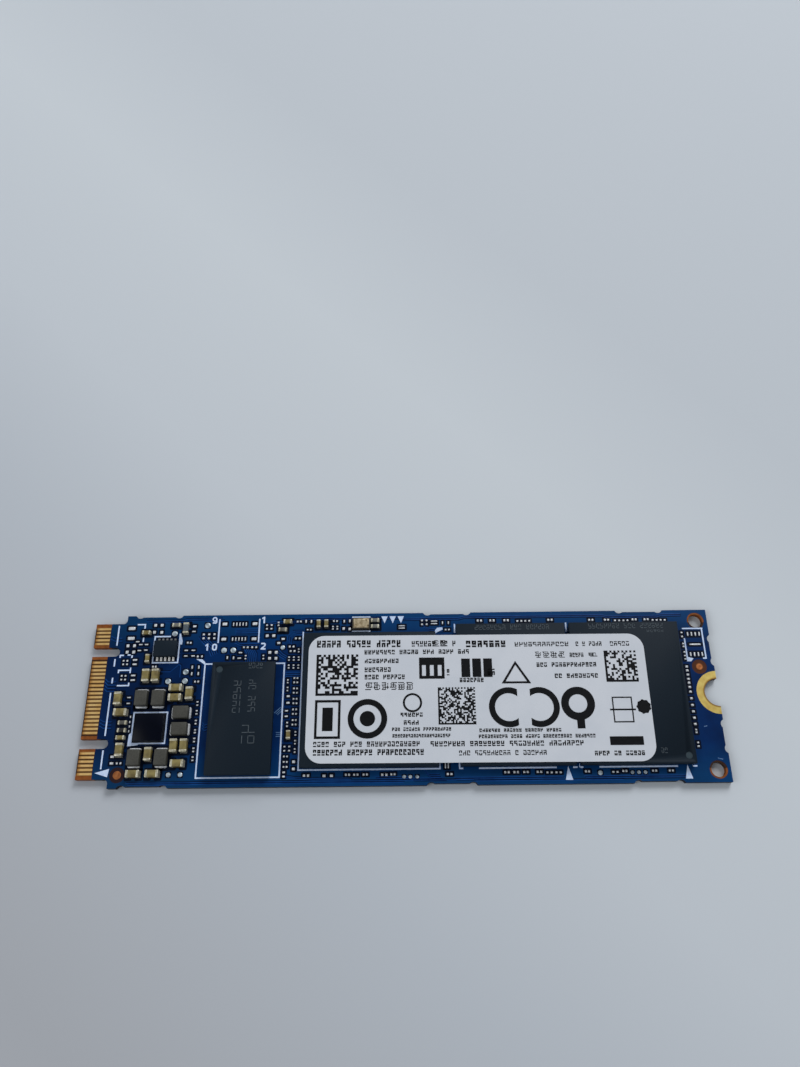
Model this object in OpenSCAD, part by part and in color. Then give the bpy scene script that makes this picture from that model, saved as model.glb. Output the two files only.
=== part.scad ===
/* [Board] */
// Thickness of the finished board, copper and mask included
board_t = 0.8; // [0.6:0.1:1.6]
// Thickness of the copper and of the solder mask
skin_t = 0.03; // [0.02:0.005:0.06]
// Rim of bare laminate around the solder mask of the underside
mask_back = 0.15; // [0.1:0.05:0.3]
// Board from the connector edge to the working memory
front_l = 15.9; // [15.8:0.1:20]
// Board left past the last flash package
rear_l = 4.3; // [4.2:0.05:8]
// Board left between the flash packages and the near edge
near_margin = 2.1; // [2:0.05:3]
// Board left between the flash packages and the far edge
far_margin = 1.9; // [1.8:0.05:3]

/* [Connector] */
// Width of the connector tongue
tongue_w = 19.85; // [18.5:0.05:19.95]
// Length of the connector tongue, up to the shoulders
tongue_l = 4; // [3.9:0.1:4.2]
// Radius in the corner between tongue and shoulder
shoulder_r = 0.5; // [0.2:0.1:0.8]
// Width of each key slot
key_w = 1.2; // [1:0.05:1.4]
// Depth of each key slot from the connector edge
key_l = 3.5; // [3:0.1:3.6]
// Distance of the far key slot from the centre line
key_far_y = 6.125; // [5.9:0.025:6.4]
// Distance of the near key slot from the centre line
key_near_y = 5.625; // [5.4:0.025:5.9]
// Spacing of the contacts in a row
contact_pitch = 0.5; // [0.45:0.01:0.6]
// Width of one contact
contact_w = 0.35; // [0.25:0.01:0.4]
// Length of one contact
contact_l = 1.85; // [1.5:0.05:1.9]
// Bare strip between the connector edge and the contacts
contact_inset = 0.12; // [0.05:0.01:0.2]

/* [Screw end] */
// Radius of the half hole for the screw
screw_r = 1.75; // [1.5:0.05:2]
// Width of the plated ring around the half hole
ring_w = 1; // [0.6:0.05:1.2]
// Diameter of each tooling hole
tooling_d = 1.8; // [1.2:0.1:2]
// Distance of the tooling holes from the board's edges
tooling_in = 1.5; // [1.4:0.05:1.8]
// Bare ring left around each tooling hole
tooling_ring = 0.2; // [0.1:0.05:0.3]
// Diameter of the copper alignment discs
disc_d = 1; // [0.8:0.05:1.2]
// Bare ring left around each alignment disc
disc_ring = 0.45; // [0.3:0.05:0.6]

/* [Breakaway tabs] */
// Length of each tab recess in the long edges
tab_l = 6.3; // [4:0.1:7]
// Length of each tab recess in the screw end
end_tab_l = 4.2; // [3:0.1:4.6]
// Depth of the tab recesses
tab_d = 0.2; // [0.1:0.05:0.3]
// Radius of the cutter that left the ends of the recesses
cutter_r = 0.6; // [0.4:0.05:0.8]
// Depth of the cutter's marks at the ends of the recesses
cutter_d = 0.36; // [0.3:0.02:0.45]

/* [Packages] */
// Height of the moulded packages above their solder balls
package_t = 0.85; // [0.6:0.05:1.1]
// Height of the solder balls
ball_h = 0.25; // [0.15:0.05:0.4]
// Diameter of the solder balls
ball_d = 0.45; // [0.3:0.05:0.5]
// Spacing of the solder balls under the controller and the flash
ball_pitch = 1; // [0.8:0.1:1.2]
// Spacing of the solder balls under the working memory
memory_ball_pitch = 0.8; // [0.65:0.05:0.9]
// Size of the working memory along the board
memory_w = 8; // [7:0.1:9]
// Size of the working memory across the board
memory_d = 14; // [12:0.1:15]
// Board left between the working memory and the near edge
memory_margin = 1.35; // [1.2:0.05:2]
// Side of the square controller package
controller_w = 17; // [15:0.1:18]
// Size of each flash package along the board
flash_w = 14; // [12:0.1:15]
// Size of each flash package across the board
flash_d = 18; // [16:0.1:19]
// Space between working memory and controller
memory_gap = 3.5; // [3.4:0.1:5]
// Space between controller and the first flash package
flash_gap = 2.7; // [2.6:0.1:4]
// Space between the two flash packages
pair_gap = 0.6; // [0.5:0.05:1]
// Diameter of the moulded pin marks
dimple_d = 0.85; // [0.6:0.05:1]
// Depth of the moulded pin marks
dimple_h = 0.05; // [0.03:0.01:0.1]

/* [Label] */
// Length of the label
label_l = 42.85; // [30:0.05:44]
// Width of the label
label_w = 16.1; // [14:0.05:16.8]
// Corner radius of the label
label_r = 2; // [1:0.1:3]
// Thickness of the label
label_t = 0.08; // [0.06:0.01:0.12]
// Controller package left bare beside the label
label_inset = 0.7; // [0.3:0.05:1.5]
// How far the label is stuck on askew, in degrees
label_turn = 0.2; // [0:0.05:0.5]

/* [Print] */
// Thickness of every printed layer
print_t = 0.02; // [0.01:0.005:0.04]
// Width of the lines printed on the board
line_w = 0.18; // [0.12:0.01:0.22]
// Height of the plain digits printed on the board
digit_h = 0.92; // [0.8:0.02:1]
// Width of the strokes of the digits
digit_line = 0.2; // [0.14:0.01:0.24]
// Space kept clear between the label and the marks on the packages
mark_clear = 0.1; // [0.05:0.05:0.3]

/* [Inductors] */
// Length of an inductor's core
core_l = 1.95; // [1.7:0.05:2.05]
// Width of an inductor's core
core_w = 1.55; // [1.3:0.05:1.6]
// Height of an inductor
core_h = 1; // [0.7:0.05:1.1]
// Length of each solder foot past an inductor's core
foot_l = 0.24; // [0.15:0.01:0.26]
// Height of the solder feet of an inductor
foot_h = 0.35; // [0.2:0.05:0.6]

/* [Capacitors and resistors] */
// Length of a large capacitor
cap_l = 1.62; // [1.4:0.02:1.66]
// Width of a large capacitor
cap_w = 0.88; // [0.7:0.02:0.92]
// Height of a large capacitor
cap_h = 0.8; // [0.5:0.05:0.9]
// Length of a large capacitor's end terminals
cap_end = 0.3; // [0.2:0.02:0.36]
// Length of a small capacitor or resistor
chip_l = 1.05; // [0.9:0.01:1.1]
// Width of a small capacitor or resistor
chip_w = 0.52; // [0.4:0.01:0.56]
// Height of a small capacitor
chip_h = 0.5; // [0.3:0.05:0.6]
// Height of a small resistor
resistor_h = 0.35; // [0.25:0.05:0.45]
// Length of a small part's end terminals
chip_end = 0.22; // [0.15:0.01:0.26]
// How far the bodies lie inside the faces of their end terminals
lip = 0.02; // [0.01:0.005:0.04]

/* [Small chips] */
// Size of the power chip along the board
power_w = 3.6; // [3:0.05:3.8]
// Size of the power chip across the board
power_d = 3.4; // [3:0.05:3.5]
// Height of the power chip
power_h = 0.6; // [0.5:0.05:0.9]
// Size of the regulator along the board
reg_w = 2.9; // [2.6:0.05:3]
// Size of the regulator across the board
reg_d = 2.1; // [1.8:0.05:2.2]
// Height of the regulator
reg_h = 0.85; // [0.7:0.05:1]
// Spacing of the regulator's leads
lead_pitch = 0.52; // [0.48:0.01:0.55]
// Width of the regulator's leads
lead_w = 0.28; // [0.18:0.01:0.3]
// Thickness of the regulator's leads
lead_t = 0.12; // [0.1:0.01:0.15]
// How far the leads reach out of the regulator
lead_out = 0.45; // [0.35:0.01:0.48]
// Length of the crystal along the board
crystal_w = 2.3; // [2:0.05:2.4]
// Size of the crystal across the board
crystal_d = 1.6; // [1.4:0.05:1.65]
// Height of the crystal's ceramic base
crystal_h = 0.35; // [0.3:0.05:0.5]
// Thickness of the crystal's metal lid
lid_t = 0.1; // [0.08:0.01:0.2]
// Rim of the base left around the crystal's lid
lid_rim = 0.17; // [0.1:0.01:0.2]

/* [Solder] */
// Height of the solder on bare pads
solder_h = 0.06; // [0.04:0.01:0.12]
// Diameter of the round test points
point_d = 0.72; // [0.5:0.02:0.76]

/* [Hidden] */
$fn = 48;

// Places of the packages along the board, measured from the connector edge
memory_x = front_l;
controller_x = memory_x + memory_w + memory_gap;
flash_1_x = controller_x + controller_w + flash_gap;
flash_2_x = flash_1_x + flash_w + pair_gap;
board_l = flash_2_x + flash_w + rear_l;
// Space that the far strip needs past the controller and past the working memory
controller_far = 2.9;
memory_far = 6.65;
board_w = max(flash_d + near_margin + far_margin, controller_w + near_margin + controller_far,
  memory_d + memory_margin + memory_far);
far_y = board_w / 2;
near_y = -board_w / 2;
memory_y = near_y + memory_margin;
memory_top = memory_y + memory_d;
package_y = near_y + near_margin;
package_top_z = board_t + ball_h + package_t;
ball_x = flash_1_x + flash_w / 2;

// Tab recesses: the first near the connector, the second and third near the packages
tab_edge = tongue_l + 1.05;
tab_places = [tab_edge + tab_l / 2, flash_1_x - 1.1, board_l - 8.8];
end_tab_y = 5.5;

// Contacts: half the number in the upper row, and the clearance kept around the key slots
contact_side = 0.4;
contact_half = floor((tongue_w / 2 - contact_side) / contact_pitch);
key_clear = key_w / 2 + contact_w / 2 + 0.2;
mask_x = contact_inset + contact_l + 0.05;

// Small parts, all measured from the connector edge and the centre line
disc_place = [5.08, -9.43];
power_c = [8.42, -3.7];
reg_c = [9.5, 6.35];
upright_inductors = [[7.15, -0.08], [9.27, -0.08], [7.05, -7.43], [10.38, -7.43]];
level_inductors = [[12.3, -1.93], [12.3, -3.98]];
upright_caps = [[7.34, 2.87], [8.56, 2.87], [4.14, -0.05], [13.1, 0.52], [5.1, -6.45],
  [8.72, -7.0], [11.75, -6.0], [13.0, -6.0]];
level_caps = [[11.33, 1.25], [11.33, 0], [4.68, -1.8], [7.1, -9.36], [9.46, -9.36], [12.4, -8.15]];
crystal_c = [controller_x + 7.35, far_y - 1.45];
edge_strip = near_y + 1.35;
rear_pads_x = flash_2_x + flash_w + 0.75;
footprint_c = [board_l - 2.03, far_y - 4.6];
label_c = [controller_x + label_inset + label_l / 2, package_y + 0.35 + label_w / 2];

module along() translate([-board_l / 2, 0, 0]) children();
module on_board() along() translate([0, 0, board_t]) children();
module at(places, turn = 0) for (p = places) translate([p[0], p[1], 0]) rotate(turn) children();
module plate(size, h) translate([-size[0] / 2, -size[1] / 2, 0]) cube([size[0], size[1], h]);
module box2(size) translate([-size[0] / 2, -size[1] / 2]) square(size);
module round_box2(size, r) {
  box2([size[0] - 2 * r, size[1]]);
  box2([size[0], size[1] - 2 * r]);
  for (x = [-1, 1], y = [-1, 1])
    translate([x * (size[0] / 2 - r), y * (size[1] / 2 - r)]) circle(r);
}
module line2(a, b, w = line_w)
  translate([min(a[0], b[0]) - w / 2, min(a[1], b[1]) - w / 2])
    square([abs(b[0] - a[0]) + w, abs(b[1] - a[1]) + w]);

// Recess left where a breakaway tab was cut off, with the cutter's round marks at both ends.
// Every cut grows by g, which draws an outline lying g inside the board's own
module tab_recess2(l, g) {
  translate([-l / 2 + cutter_r, -tab_d - g]) square([l - 2 * cutter_r, tab_d + g + 1]);
  for (s = [-1, 1]) translate([s * (l / 2 - cutter_r), cutter_r - cutter_d]) {
    circle(cutter_r + g);
    translate([-cutter_r - g, 0]) square([2 * (cutter_r + g), 1]);
  }
}
module board_outline2(g = 0) difference() {
  fillet = min(shoulder_r, (board_w - tongue_w) / 2 - 0.1);
  union() {
    translate([g, -tongue_w / 2 + g]) square([tongue_l + 1, tongue_w - 2 * g]);
    translate([tongue_l + g, near_y + g]) square([board_l - tongue_l - 2 * g, board_w - 2 * g]);
    for (s = [0, 1]) mirror([0, s, 0]) difference() {
      translate([tongue_l - fillet, tongue_w / 2 - g]) square(fillet + g);
      translate([tongue_l - fillet, tongue_w / 2 + fillet]) circle(fillet + g);
    }
  }
  for (y = [key_far_y, -key_near_y]) {
    translate([-1, y - key_w / 2 - g]) square([key_l - key_w / 2 + 1, key_w + 2 * g]);
    translate([key_l - key_w / 2, y]) circle(d = key_w + 2 * g);
  }
  for (x = tab_places) {
    translate([x, far_y]) tab_recess2(tab_l, g);
    translate([x, near_y]) rotate(180) tab_recess2(tab_l, g);
  }
  for (s = [-1, 1]) translate([board_l, s * end_tab_y]) rotate(-90) tab_recess2(end_tab_l, g);
}

function tooling_places() = [for (s = [-1, 1]) [board_l - tooling_in, s * (far_y - tooling_in)]];
function disc_places() = [disc_place, [board_l - 1.9, 3.35]];

// Laminate with shallow seats in its underside for the mask, the contacts and the screw ring
module circuit_board() color("saddlebrown") along() difference() {
  linear_extrude(board_t - skin_t) difference() {
    board_outline2();
    translate([board_l, 0]) circle(screw_r);
    at(tooling_places()) circle(d = tooling_d);
  }
  translate([0, 0, -skin_t]) linear_extrude(2 * skin_t) {
    mask2(mask_back);
    translate([board_l, 0]) circle(screw_r + ring_w);
  }
  translate([0, 0, -skin_t]) contacts(lower_row(), 2 * skin_t);
}

module mask2(g) difference() {
  board_outline2(g);
  translate([-1, near_y - 1]) square([mask_x + 1, board_w + 2]);
  translate([board_l, 0]) circle(screw_r + ring_w);
  at(tooling_places()) circle(d = tooling_d + 2 * tooling_ring);
}
module solder_mask_top() color("midnightblue") on_board() translate([0, 0, -skin_t])
  linear_extrude(skin_t) difference() {
    mask2(0);
    at(disc_places()) circle(d = disc_d + 2 * disc_ring);
  }
module solder_mask_bottom() color("midnightblue") along() linear_extrude(skin_t) mask2(mask_back);

function clear_of_keys(y) = abs(y - key_far_y) > key_clear && abs(y + key_near_y) > key_clear;
function upper_row() = [for (k = [-contact_half:contact_half - 1]) (k + 0.5) * contact_pitch];
function lower_row() = [for (k = [1 - contact_half:contact_half - 1]) k * contact_pitch];
module contacts(places, h) for (y = places) if (clear_of_keys(y))
  translate([contact_inset, y - contact_w / 2, 0]) cube([contact_l, contact_w, h]);
module edge_contacts_top() color("gold") on_board() translate([0, 0, -skin_t])
  contacts(upper_row(), skin_t);
module edge_contacts_bottom() color("gold") along() contacts(lower_row(), skin_t);

// Plated copper ring around the half hole, one on each face
module screw_ring() color("darkkhaki") along() translate([board_l, 0, 0])
  for (z = [0, board_t - skin_t]) translate([0, 0, z]) difference() {
    cylinder(r = screw_r + ring_w, h = skin_t);
    translate([0, 0, -1]) cylinder(r = screw_r, h = 3);
    translate([0, -2 * screw_r - ring_w, -1]) cube([4 * screw_r, 4 * screw_r + 2 * ring_w, 3]);
  }
module alignment_discs() color("peru") on_board() translate([0, 0, -skin_t])
  at(disc_places()) cylinder(d = disc_d, h = skin_t);

// White lines, frames and pin marks printed on the board
module frame2(c, size, gap = 0) difference() {
  translate(c) box2([size[0] + line_w, size[1] + line_w]);
  translate(c) box2([size[0] - line_w, size[1] - line_w]);
  if (gap > 0) translate([c[0] + size[0] / 2 - gap, c[1] + size[1] / 2 - line_w]) square([gap, 2]);
}
module connector_lines2() {
  for (l = [[9.6, 7.1], [5.1, 4.3], [2.65, 2.1], [0.7, -4.55], [-6.5, -8.6]])
    line2([3, l[0]], [3, l[1]]);
  polygon([[2.3, -9.15], [4.05, -8.65], [3.9, -9.65]]);
  line2([5.5, 9.82], [6.4, 9.82]);
  line2([6.4, 9.82], [6.4, 9.35]);
  line2([6.37, 7.95], [6.37, 7.55]);
  line2([3.68, 5.68], [4.0, 5.68]);
  line2([3.62, 5.68], [3.62, 5.45]);
  line2([4.65, 5.72], [4.85, 5.72]);
  line2([5.15, 5.6], [5.15, 5.42]);
  line2([3.65, 3.7], [5.15, 3.7]);
  line2([3.65, 3.7], [3.65, 3.42]);
  line2([5.15, 3.95], [5.15, 3.42]);
  line2([3.75, 1.7], [5.15, 1.7]);
  line2([5.15, 1.7], [5.15, 1.98]);
}
module small_frames2() {
  frame2(power_c - [0.02, 0], [power_w + 0.6, power_d + 0.45]);
  translate(power_c - [power_w / 2 + 0.32, power_d / 2 + 0.22])
    polygon([[0, 1.4], [-0.35, 1.1], [-0.4, -0.35], [0.85, -0.2], [1.15, 0], [0, 0]]);
  frame2(reg_c + [0, 0.05], [reg_w + 0.35, reg_d + 1.4], 1.2);
  translate(reg_c + [reg_w / 2 + 0.17, reg_d / 2])
    polygon([[-0.1, 1.1], [0.1, 1.15], [0.4, 0.1], [0.35, -0.35], [-0.05, -0.35], [-0.05, 0.2]]);
}
module memory_frame2() {
  x0 = memory_x - 1.2;
  x1 = memory_x + memory_w + 1.02;
  y0 = memory_y - 0.22;
  y1 = memory_top + 0.05;
  line2([x0, y0], [x1, y0]);
  line2([x0, y0], [x0, y1]);
  line2([x1, y0], [x1, y1]);
  line2([x0, y1], [x0 + 0.85, y1]);
  line2([x1 - 1.05, y1], [x1, y1]);
  polygon([[x0, y1], [x0, y1 + 0.25], [x0 - 0.4, y1 + 0.62], [x0 - 1.2, y1 + 0.7], [x0 - 0.15, y1]]);
  translate([memory_x, memory_top]) {
    line2([0.25, 2.95], [0.25, 6]);
    line2([5.5, 2.95], [5.5, 6]);
  }
}
module package_frames2() {
  x0 = controller_x - 0.2;
  y0 = package_y - 0.15;
  x1 = flash_1_x - 0.15;
  x2 = flash_2_x - 0.2;
  rear = flash_2_x + flash_w;
  line2([x0, y0], [x0, y0 + controller_w + 0.55]);
  line2([x0, y0], [controller_x + controller_w + 0.15, y0]);
  line2([controller_x + controller_w + 0.15, y0], [controller_x + controller_w + 0.15, y0 + 1]);
  translate([controller_x + controller_w, package_y + controller_w])
    polygon([[-0.1, 0], [0.3, 0.25], [1, 0.6], [0.95, 0.9], [0.3, 0.85], [0, 0.5]]);
  line2([x1, y0], [x1, y0 + 1]);
  line2([x1, y0], [x1 + 0.35, y0]);
  line2([x1, package_y + flash_d - 0.8], [x1, package_y + flash_d + 0.25]);
  line2([x1 + 2.45, y0], [x1 + 11.75, y0]);
  line2([x2 - 0.6, y0], [x2 - 0.25, y0]);
  line2([x2 + 0.1, y0], [x2 + 0.1, y0 + 0.4], line_w / 2);
  line2([x2 + 0.25, y0], [x2 + 0.45, y0]);
  line2([x2, package_y + flash_d - 0.8], [x2, package_y + flash_d + 0.25]);
  line2([x2 + 2.6, y0], [x2 + 12, y0]);
  line2([rear - 0.2, y0], [rear + 0.15, y0]);
  for (x = [x2 - 1.3, rear - 0.95]) translate([x, y0])
    polygon([[0, 0.15], [-0.42, -1.5], [0.48, -1.5]]);
  for (k = [0:2]) translate([controller_x + 10.4 + 1.07 * k, far_y - 0.42])
    polygon([[-0.42, 0], [0.42, 0], [0.02, -0.95]]);
  for (s = [-1, 1]) translate(crystal_c + [0, s * (crystal_d / 2 + 0.16)]) box2([2.4, line_w]);
}
module footprint_frame2() translate(footprint_c) {
  line2([-1.3, 2.05], [1.2, 2.05]);
  line2([1.15, 2.05], [1.15, -1.95]);
  line2([-1.25, 0.65], [-1.25, -1.95]);
  line2([0.85, -1.95], [1.15, -1.95]);
  polygon([[-1.3, -1.75], [-0.45, -1.95], [-0.8, -2.35], [-1.35, -2.35]]);
}
module board_print() color("lightsteelblue") on_board() linear_extrude(print_t) {
  connector_lines2();
  small_frames2();
  memory_frame2();
  package_frames2();
  footprint_frame2();
}

// Plain digits beside the debug connector: 9, 1, 10 and 2
module digit_1() {
  w = digit_line;
  polygon([[w / 2, -w / 2], [w / 2, digit_h - w / 2], [-0.03, digit_h - w / 2],
    [-0.28, digit_h - 1.3 * w], [-0.28, digit_h - 2.2 * w], [-w / 2, digit_h - 1.75 * w],
    [-w / 2, -w / 2]]);
}
module digit_0() difference() {
  round_box2([0.66, digit_h], 0.3);
  round_box2([0.66 - 2 * digit_line, digit_h - 2 * digit_line], 0.12);
}
module digit_9() {
  r = 0.33;
  translate([0, digit_h / 2 - r]) difference() {
    circle(r);
    circle(r - digit_line * 0.9);
  }
  line2([r - digit_line / 2, (digit_line - digit_h) / 2 + 0.12], [r - digit_line / 2, digit_h / 2 - r],
    digit_line);
  line2([-0.15, (digit_line - digit_h) / 2], [r - digit_line, (digit_line - digit_h) / 2], digit_line);
}
module digit_2() {
  a = digit_h / 2;
  w = digit_line;
  polygon([[-0.32, -a], [0.32, -a], [0.32, w - a], [0.02, w - a], [0.32, 0.06], [0.32, a - 0.14],
    [0.18, a], [-0.28, a], [-0.28, a - w], [0.1, a - w], [0.14, a - w - 0.04], [0.14, 0.12],
    [-0.32, w - a - 0.02]]);
}
module board_digits() color("lightsteelblue") on_board() translate([memory_x, memory_top, 0])
  linear_extrude(print_t) {
    translate([-0.4, 5.95]) digit_9();
    translate([-1.1, 1.94]) digit_1();
    translate([-0.17, 2.3]) digit_0();
    translate([6.1, 5.56]) digit_1();
    translate([6.15, 2.35]) digit_2();
  }

// Moulded packages on solder balls
module package(x, y, size, dimple) translate([x, y, ball_h]) difference() {
  cube([size[0], size[1], package_t]);
  if (dimple[0] > 0) translate([dimple[0], dimple[1], package_t - dimple_h])
    cylinder(d = dimple_d, h = 1);
}
module working_memory() color("darkslategray") on_board()
  package(memory_x, memory_y, [memory_w, memory_d], [0.95, memory_d - 0.95]);
module controller() color("darkslategray") on_board()
  package(controller_x, package_y, [controller_w, controller_w], [0, 0]);
module flash_package_1() color("darkslategray") on_board()
  package(flash_1_x, package_y, [flash_w, flash_d], [0, 0]);
module flash_package_2() color("darkslategray") on_board()
  package(flash_2_x, package_y, [flash_w, flash_d], [flash_w - 0.9, 0.95]);

// The outer ring of solder balls under a package
module ball_ring(x, y, size, pitch) {
  n = floor((size[0] - 4 * ball_d) / pitch);
  m = floor((size[1] - 4 * ball_d) / pitch);
  translate([x + size[0] / 2 - n * pitch / 2, y + size[1] / 2 - m * pitch / 2, 0])
    for (i = [0:n], j = [0:m]) if (i == 0 || i == n || j == 0 || j == m)
      translate([i * pitch, j * pitch, 0]) cylinder(d = ball_d, h = ball_h, $fn = 8);
}
module memory_solder_balls() color("silver") on_board()
  ball_ring(memory_x, memory_y, [memory_w, memory_d], memory_ball_pitch);
module controller_solder_balls() color("silver") on_board()
  ball_ring(controller_x, package_y, [controller_w, controller_w], ball_pitch);
module flash_1_solder_balls() color("silver") on_board()
  ball_ring(flash_1_x, package_y, [flash_w, flash_d], ball_pitch);
module flash_2_solder_balls() color("silver") on_board()
  ball_ring(flash_2_x, package_y, [flash_w, flash_d], ball_pitch);

// Rows of short strokes in the place of the laser marks on the packages
function stroke(i) = (i * 7 + i * i * 3) % 5;
module stroke_row2(n, pitch, h) for (i = [0:n - 1]) if (stroke(i) != 1) {
  translate([i * pitch, 0]) square([pitch * 0.22, h]);
  if (stroke(i) > 2) translate([i * pitch, 0]) square([pitch * 0.62, h * 0.2]);
  if (stroke(i) < 2) translate([i * pitch + pitch * 0.4, h * 0.3]) square([pitch * 0.22, h * 0.7]);
  if (stroke(i) == 2) translate([i * pitch, h * 0.8]) square([pitch * 0.62, h * 0.2]);
}
module package_marks() color("gray") along() translate([0, 0, package_top_z])
  linear_extrude(print_t) difference() {
    union() {
      translate([memory_x, memory_y + memory_d]) {
        translate([4, -0.7]) rotate(-90) stroke_row2(6, 0.55, 0.75);
        translate([2.3, -3.4]) rotate(-90) stroke_row2(9, 0.62, 0.8);
        translate([4.6, -3.4]) rotate(-90) stroke_row2(9, 0.62, 0.8);
      }
      for (x = [flash_1_x + 2, flash_2_x + 2])
        translate([x, package_y + flash_d - 0.9]) stroke_row2(21, 0.48, 0.55);
      translate([flash_2_x + flash_w - 4.2, package_y + flash_d - 1.75]) stroke_row2(6, 0.48, 0.55);
    }
    translate(label_c) rotate(-label_turn)
      round_box2([label_l + 2 * mark_clear, label_w + 2 * mark_clear], label_r);
  }

module power_chip() color("black") on_board() translate(power_c) translate([0, 0, skin_t])
  plate([power_w, power_d], power_h);
module power_chip_solder() color("silver") on_board() translate(power_c)
  plate([power_w + 0.1, power_d + 0.1], skin_t);

module regulator_chip() color("darkslategray") on_board() translate(reg_c)
  translate([0, 0, lead_t]) plate([reg_w, reg_d], reg_h - lead_t);
module regulator_leads() color("silver") on_board() translate(reg_c)
  for (k = [-2:2], s = [-1, 1]) translate([k * lead_pitch, s * (reg_d / 2 + lead_out / 2 - 0.15), 0])
    plate([lead_w, lead_out + 0.3], lead_t);

module inductor_core() translate([0, 0, lip])
  linear_extrude(core_h - lip) round_box2([core_w, core_l], 0.12);
module inductor_foot_pair() for (s = [-1, 1]) translate([0, s * (core_l + foot_l) / 2, 0])
  plate([core_w, foot_l], foot_h);
module inductor_cores() color("dimgray") on_board() {
  at(upright_inductors) inductor_core();
  at(level_inductors, 90) inductor_core();
}
module inductor_feet() color("silver") on_board() {
  at(upright_inductors) inductor_foot_pair();
  at(level_inductors, 90) inductor_foot_pair();
}

// Ceramic block between two wrapped metal ends, lying along Y
module chip_body(l, w, h, end) translate([0, 0, lip])
  plate([w - 2 * lip, l - 2 * end], h - 2 * lip);
module chip_ends(l, w, h, end) for (s = [-1, 1]) translate([0, s * (l - end) / 2, 0])
  plate([w, end], h);
module large_capacitor_bodies() color("darkkhaki") on_board() {
  at(upright_caps) chip_body(cap_l, cap_w, cap_h, cap_end);
  at(level_caps, 90) chip_body(cap_l, cap_w, cap_h, cap_end);
}
module large_capacitor_ends() color("lightgray") on_board() {
  at(upright_caps) chip_ends(cap_l, cap_w, cap_h, cap_end);
  at(level_caps, 90) chip_ends(cap_l, cap_w, cap_h, cap_end);
}
function upright_small_caps() = [[7.25, 5.18], [controller_x - 1.57, -4.78],
  [controller_x + 1.8, far_y - 1.42], [controller_x + 2.8, far_y - 1.42]];
function level_small_caps() = [[5.0, -4.93], [6.75, 8.62], [controller_x - 2.27, far_y - 1.07]];
module small_capacitor_bodies() color("darkkhaki") on_board() {
  at(upright_small_caps()) chip_body(chip_l, chip_w, chip_h, chip_end);
  at(level_small_caps(), 90) chip_body(chip_l, chip_w, chip_h, chip_end);
}
module small_capacitor_ends() color("lightgray") on_board() {
  at(upright_small_caps()) chip_ends(chip_l, chip_w, chip_h, chip_end);
  at(level_small_caps(), 90) chip_ends(chip_l, chip_w, chip_h, chip_end);
}
function level_resistors() = [[5.0, -3.05], [5.02, -4.0], [10.55, 9.65],
  [controller_x - 2.9, far_y - 2.13], [controller_x + 9.15, far_y - 1],
  [controller_x + 9.15, far_y - 1.83]];
module small_resistor_bodies() color("darkslategray") on_board()
  at(level_resistors(), 90) chip_body(chip_l, chip_w, resistor_h, chip_end);
module small_resistor_ends() color("lightgray") on_board()
  at(level_resistors(), 90) chip_ends(chip_l, chip_w, resistor_h, chip_end);
diode_c = [11.88, 9.15];
module diode_body() color("slategray") on_board() translate(diode_c)
  chip_body(1.45, 0.7, 0.6, 0.28);
module diode_ends() color("lightgray") on_board() translate(diode_c)
  chip_ends(1.45, 0.7, 0.6, 0.28);

module crystal_base() color("dimgray") on_board() translate(crystal_c)
  plate([crystal_w, crystal_d], crystal_h);
module crystal_lid() color("tan") on_board() translate(crystal_c) translate([0, 0, crystal_h])
  linear_extrude(lid_t) round_box2([crystal_w - 2 * lid_rim, crystal_d - 2 * lid_rim], 0.1);

module test_points() color("silver") on_board() {
  at([[10.15, 2.2], [12.3, 3.4], [12.3, 2.2], [14.62, 9.6], [10.4, 8.52]])
    cylinder(d = point_d, h = solder_h);
  translate([memory_x, memory_top, 0]) at([[1.1, 1.85], [2.3, 1.85]])
    cylinder(d = point_d, h = solder_h);
  at([[11.35, -9.45], [12.8, -9.45], [controller_x - 2.8, 6.5], [flash_2_x + 2.35, edge_strip - 0.08]])
    cylinder(d = point_d * 0.8, h = solder_h);
  for (x = [12.75, 13.5, 14.35]) translate([controller_x + x, edge_strip - 0.32, 0])
    cylinder(d = point_d * 0.6, h = solder_h);
  for (x = [6.25, 7.05, 7.85]) translate([flash_2_x + x, edge_strip - 0.07, 0])
    cylinder(d = point_d * 0.6, h = solder_h);
}

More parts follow.
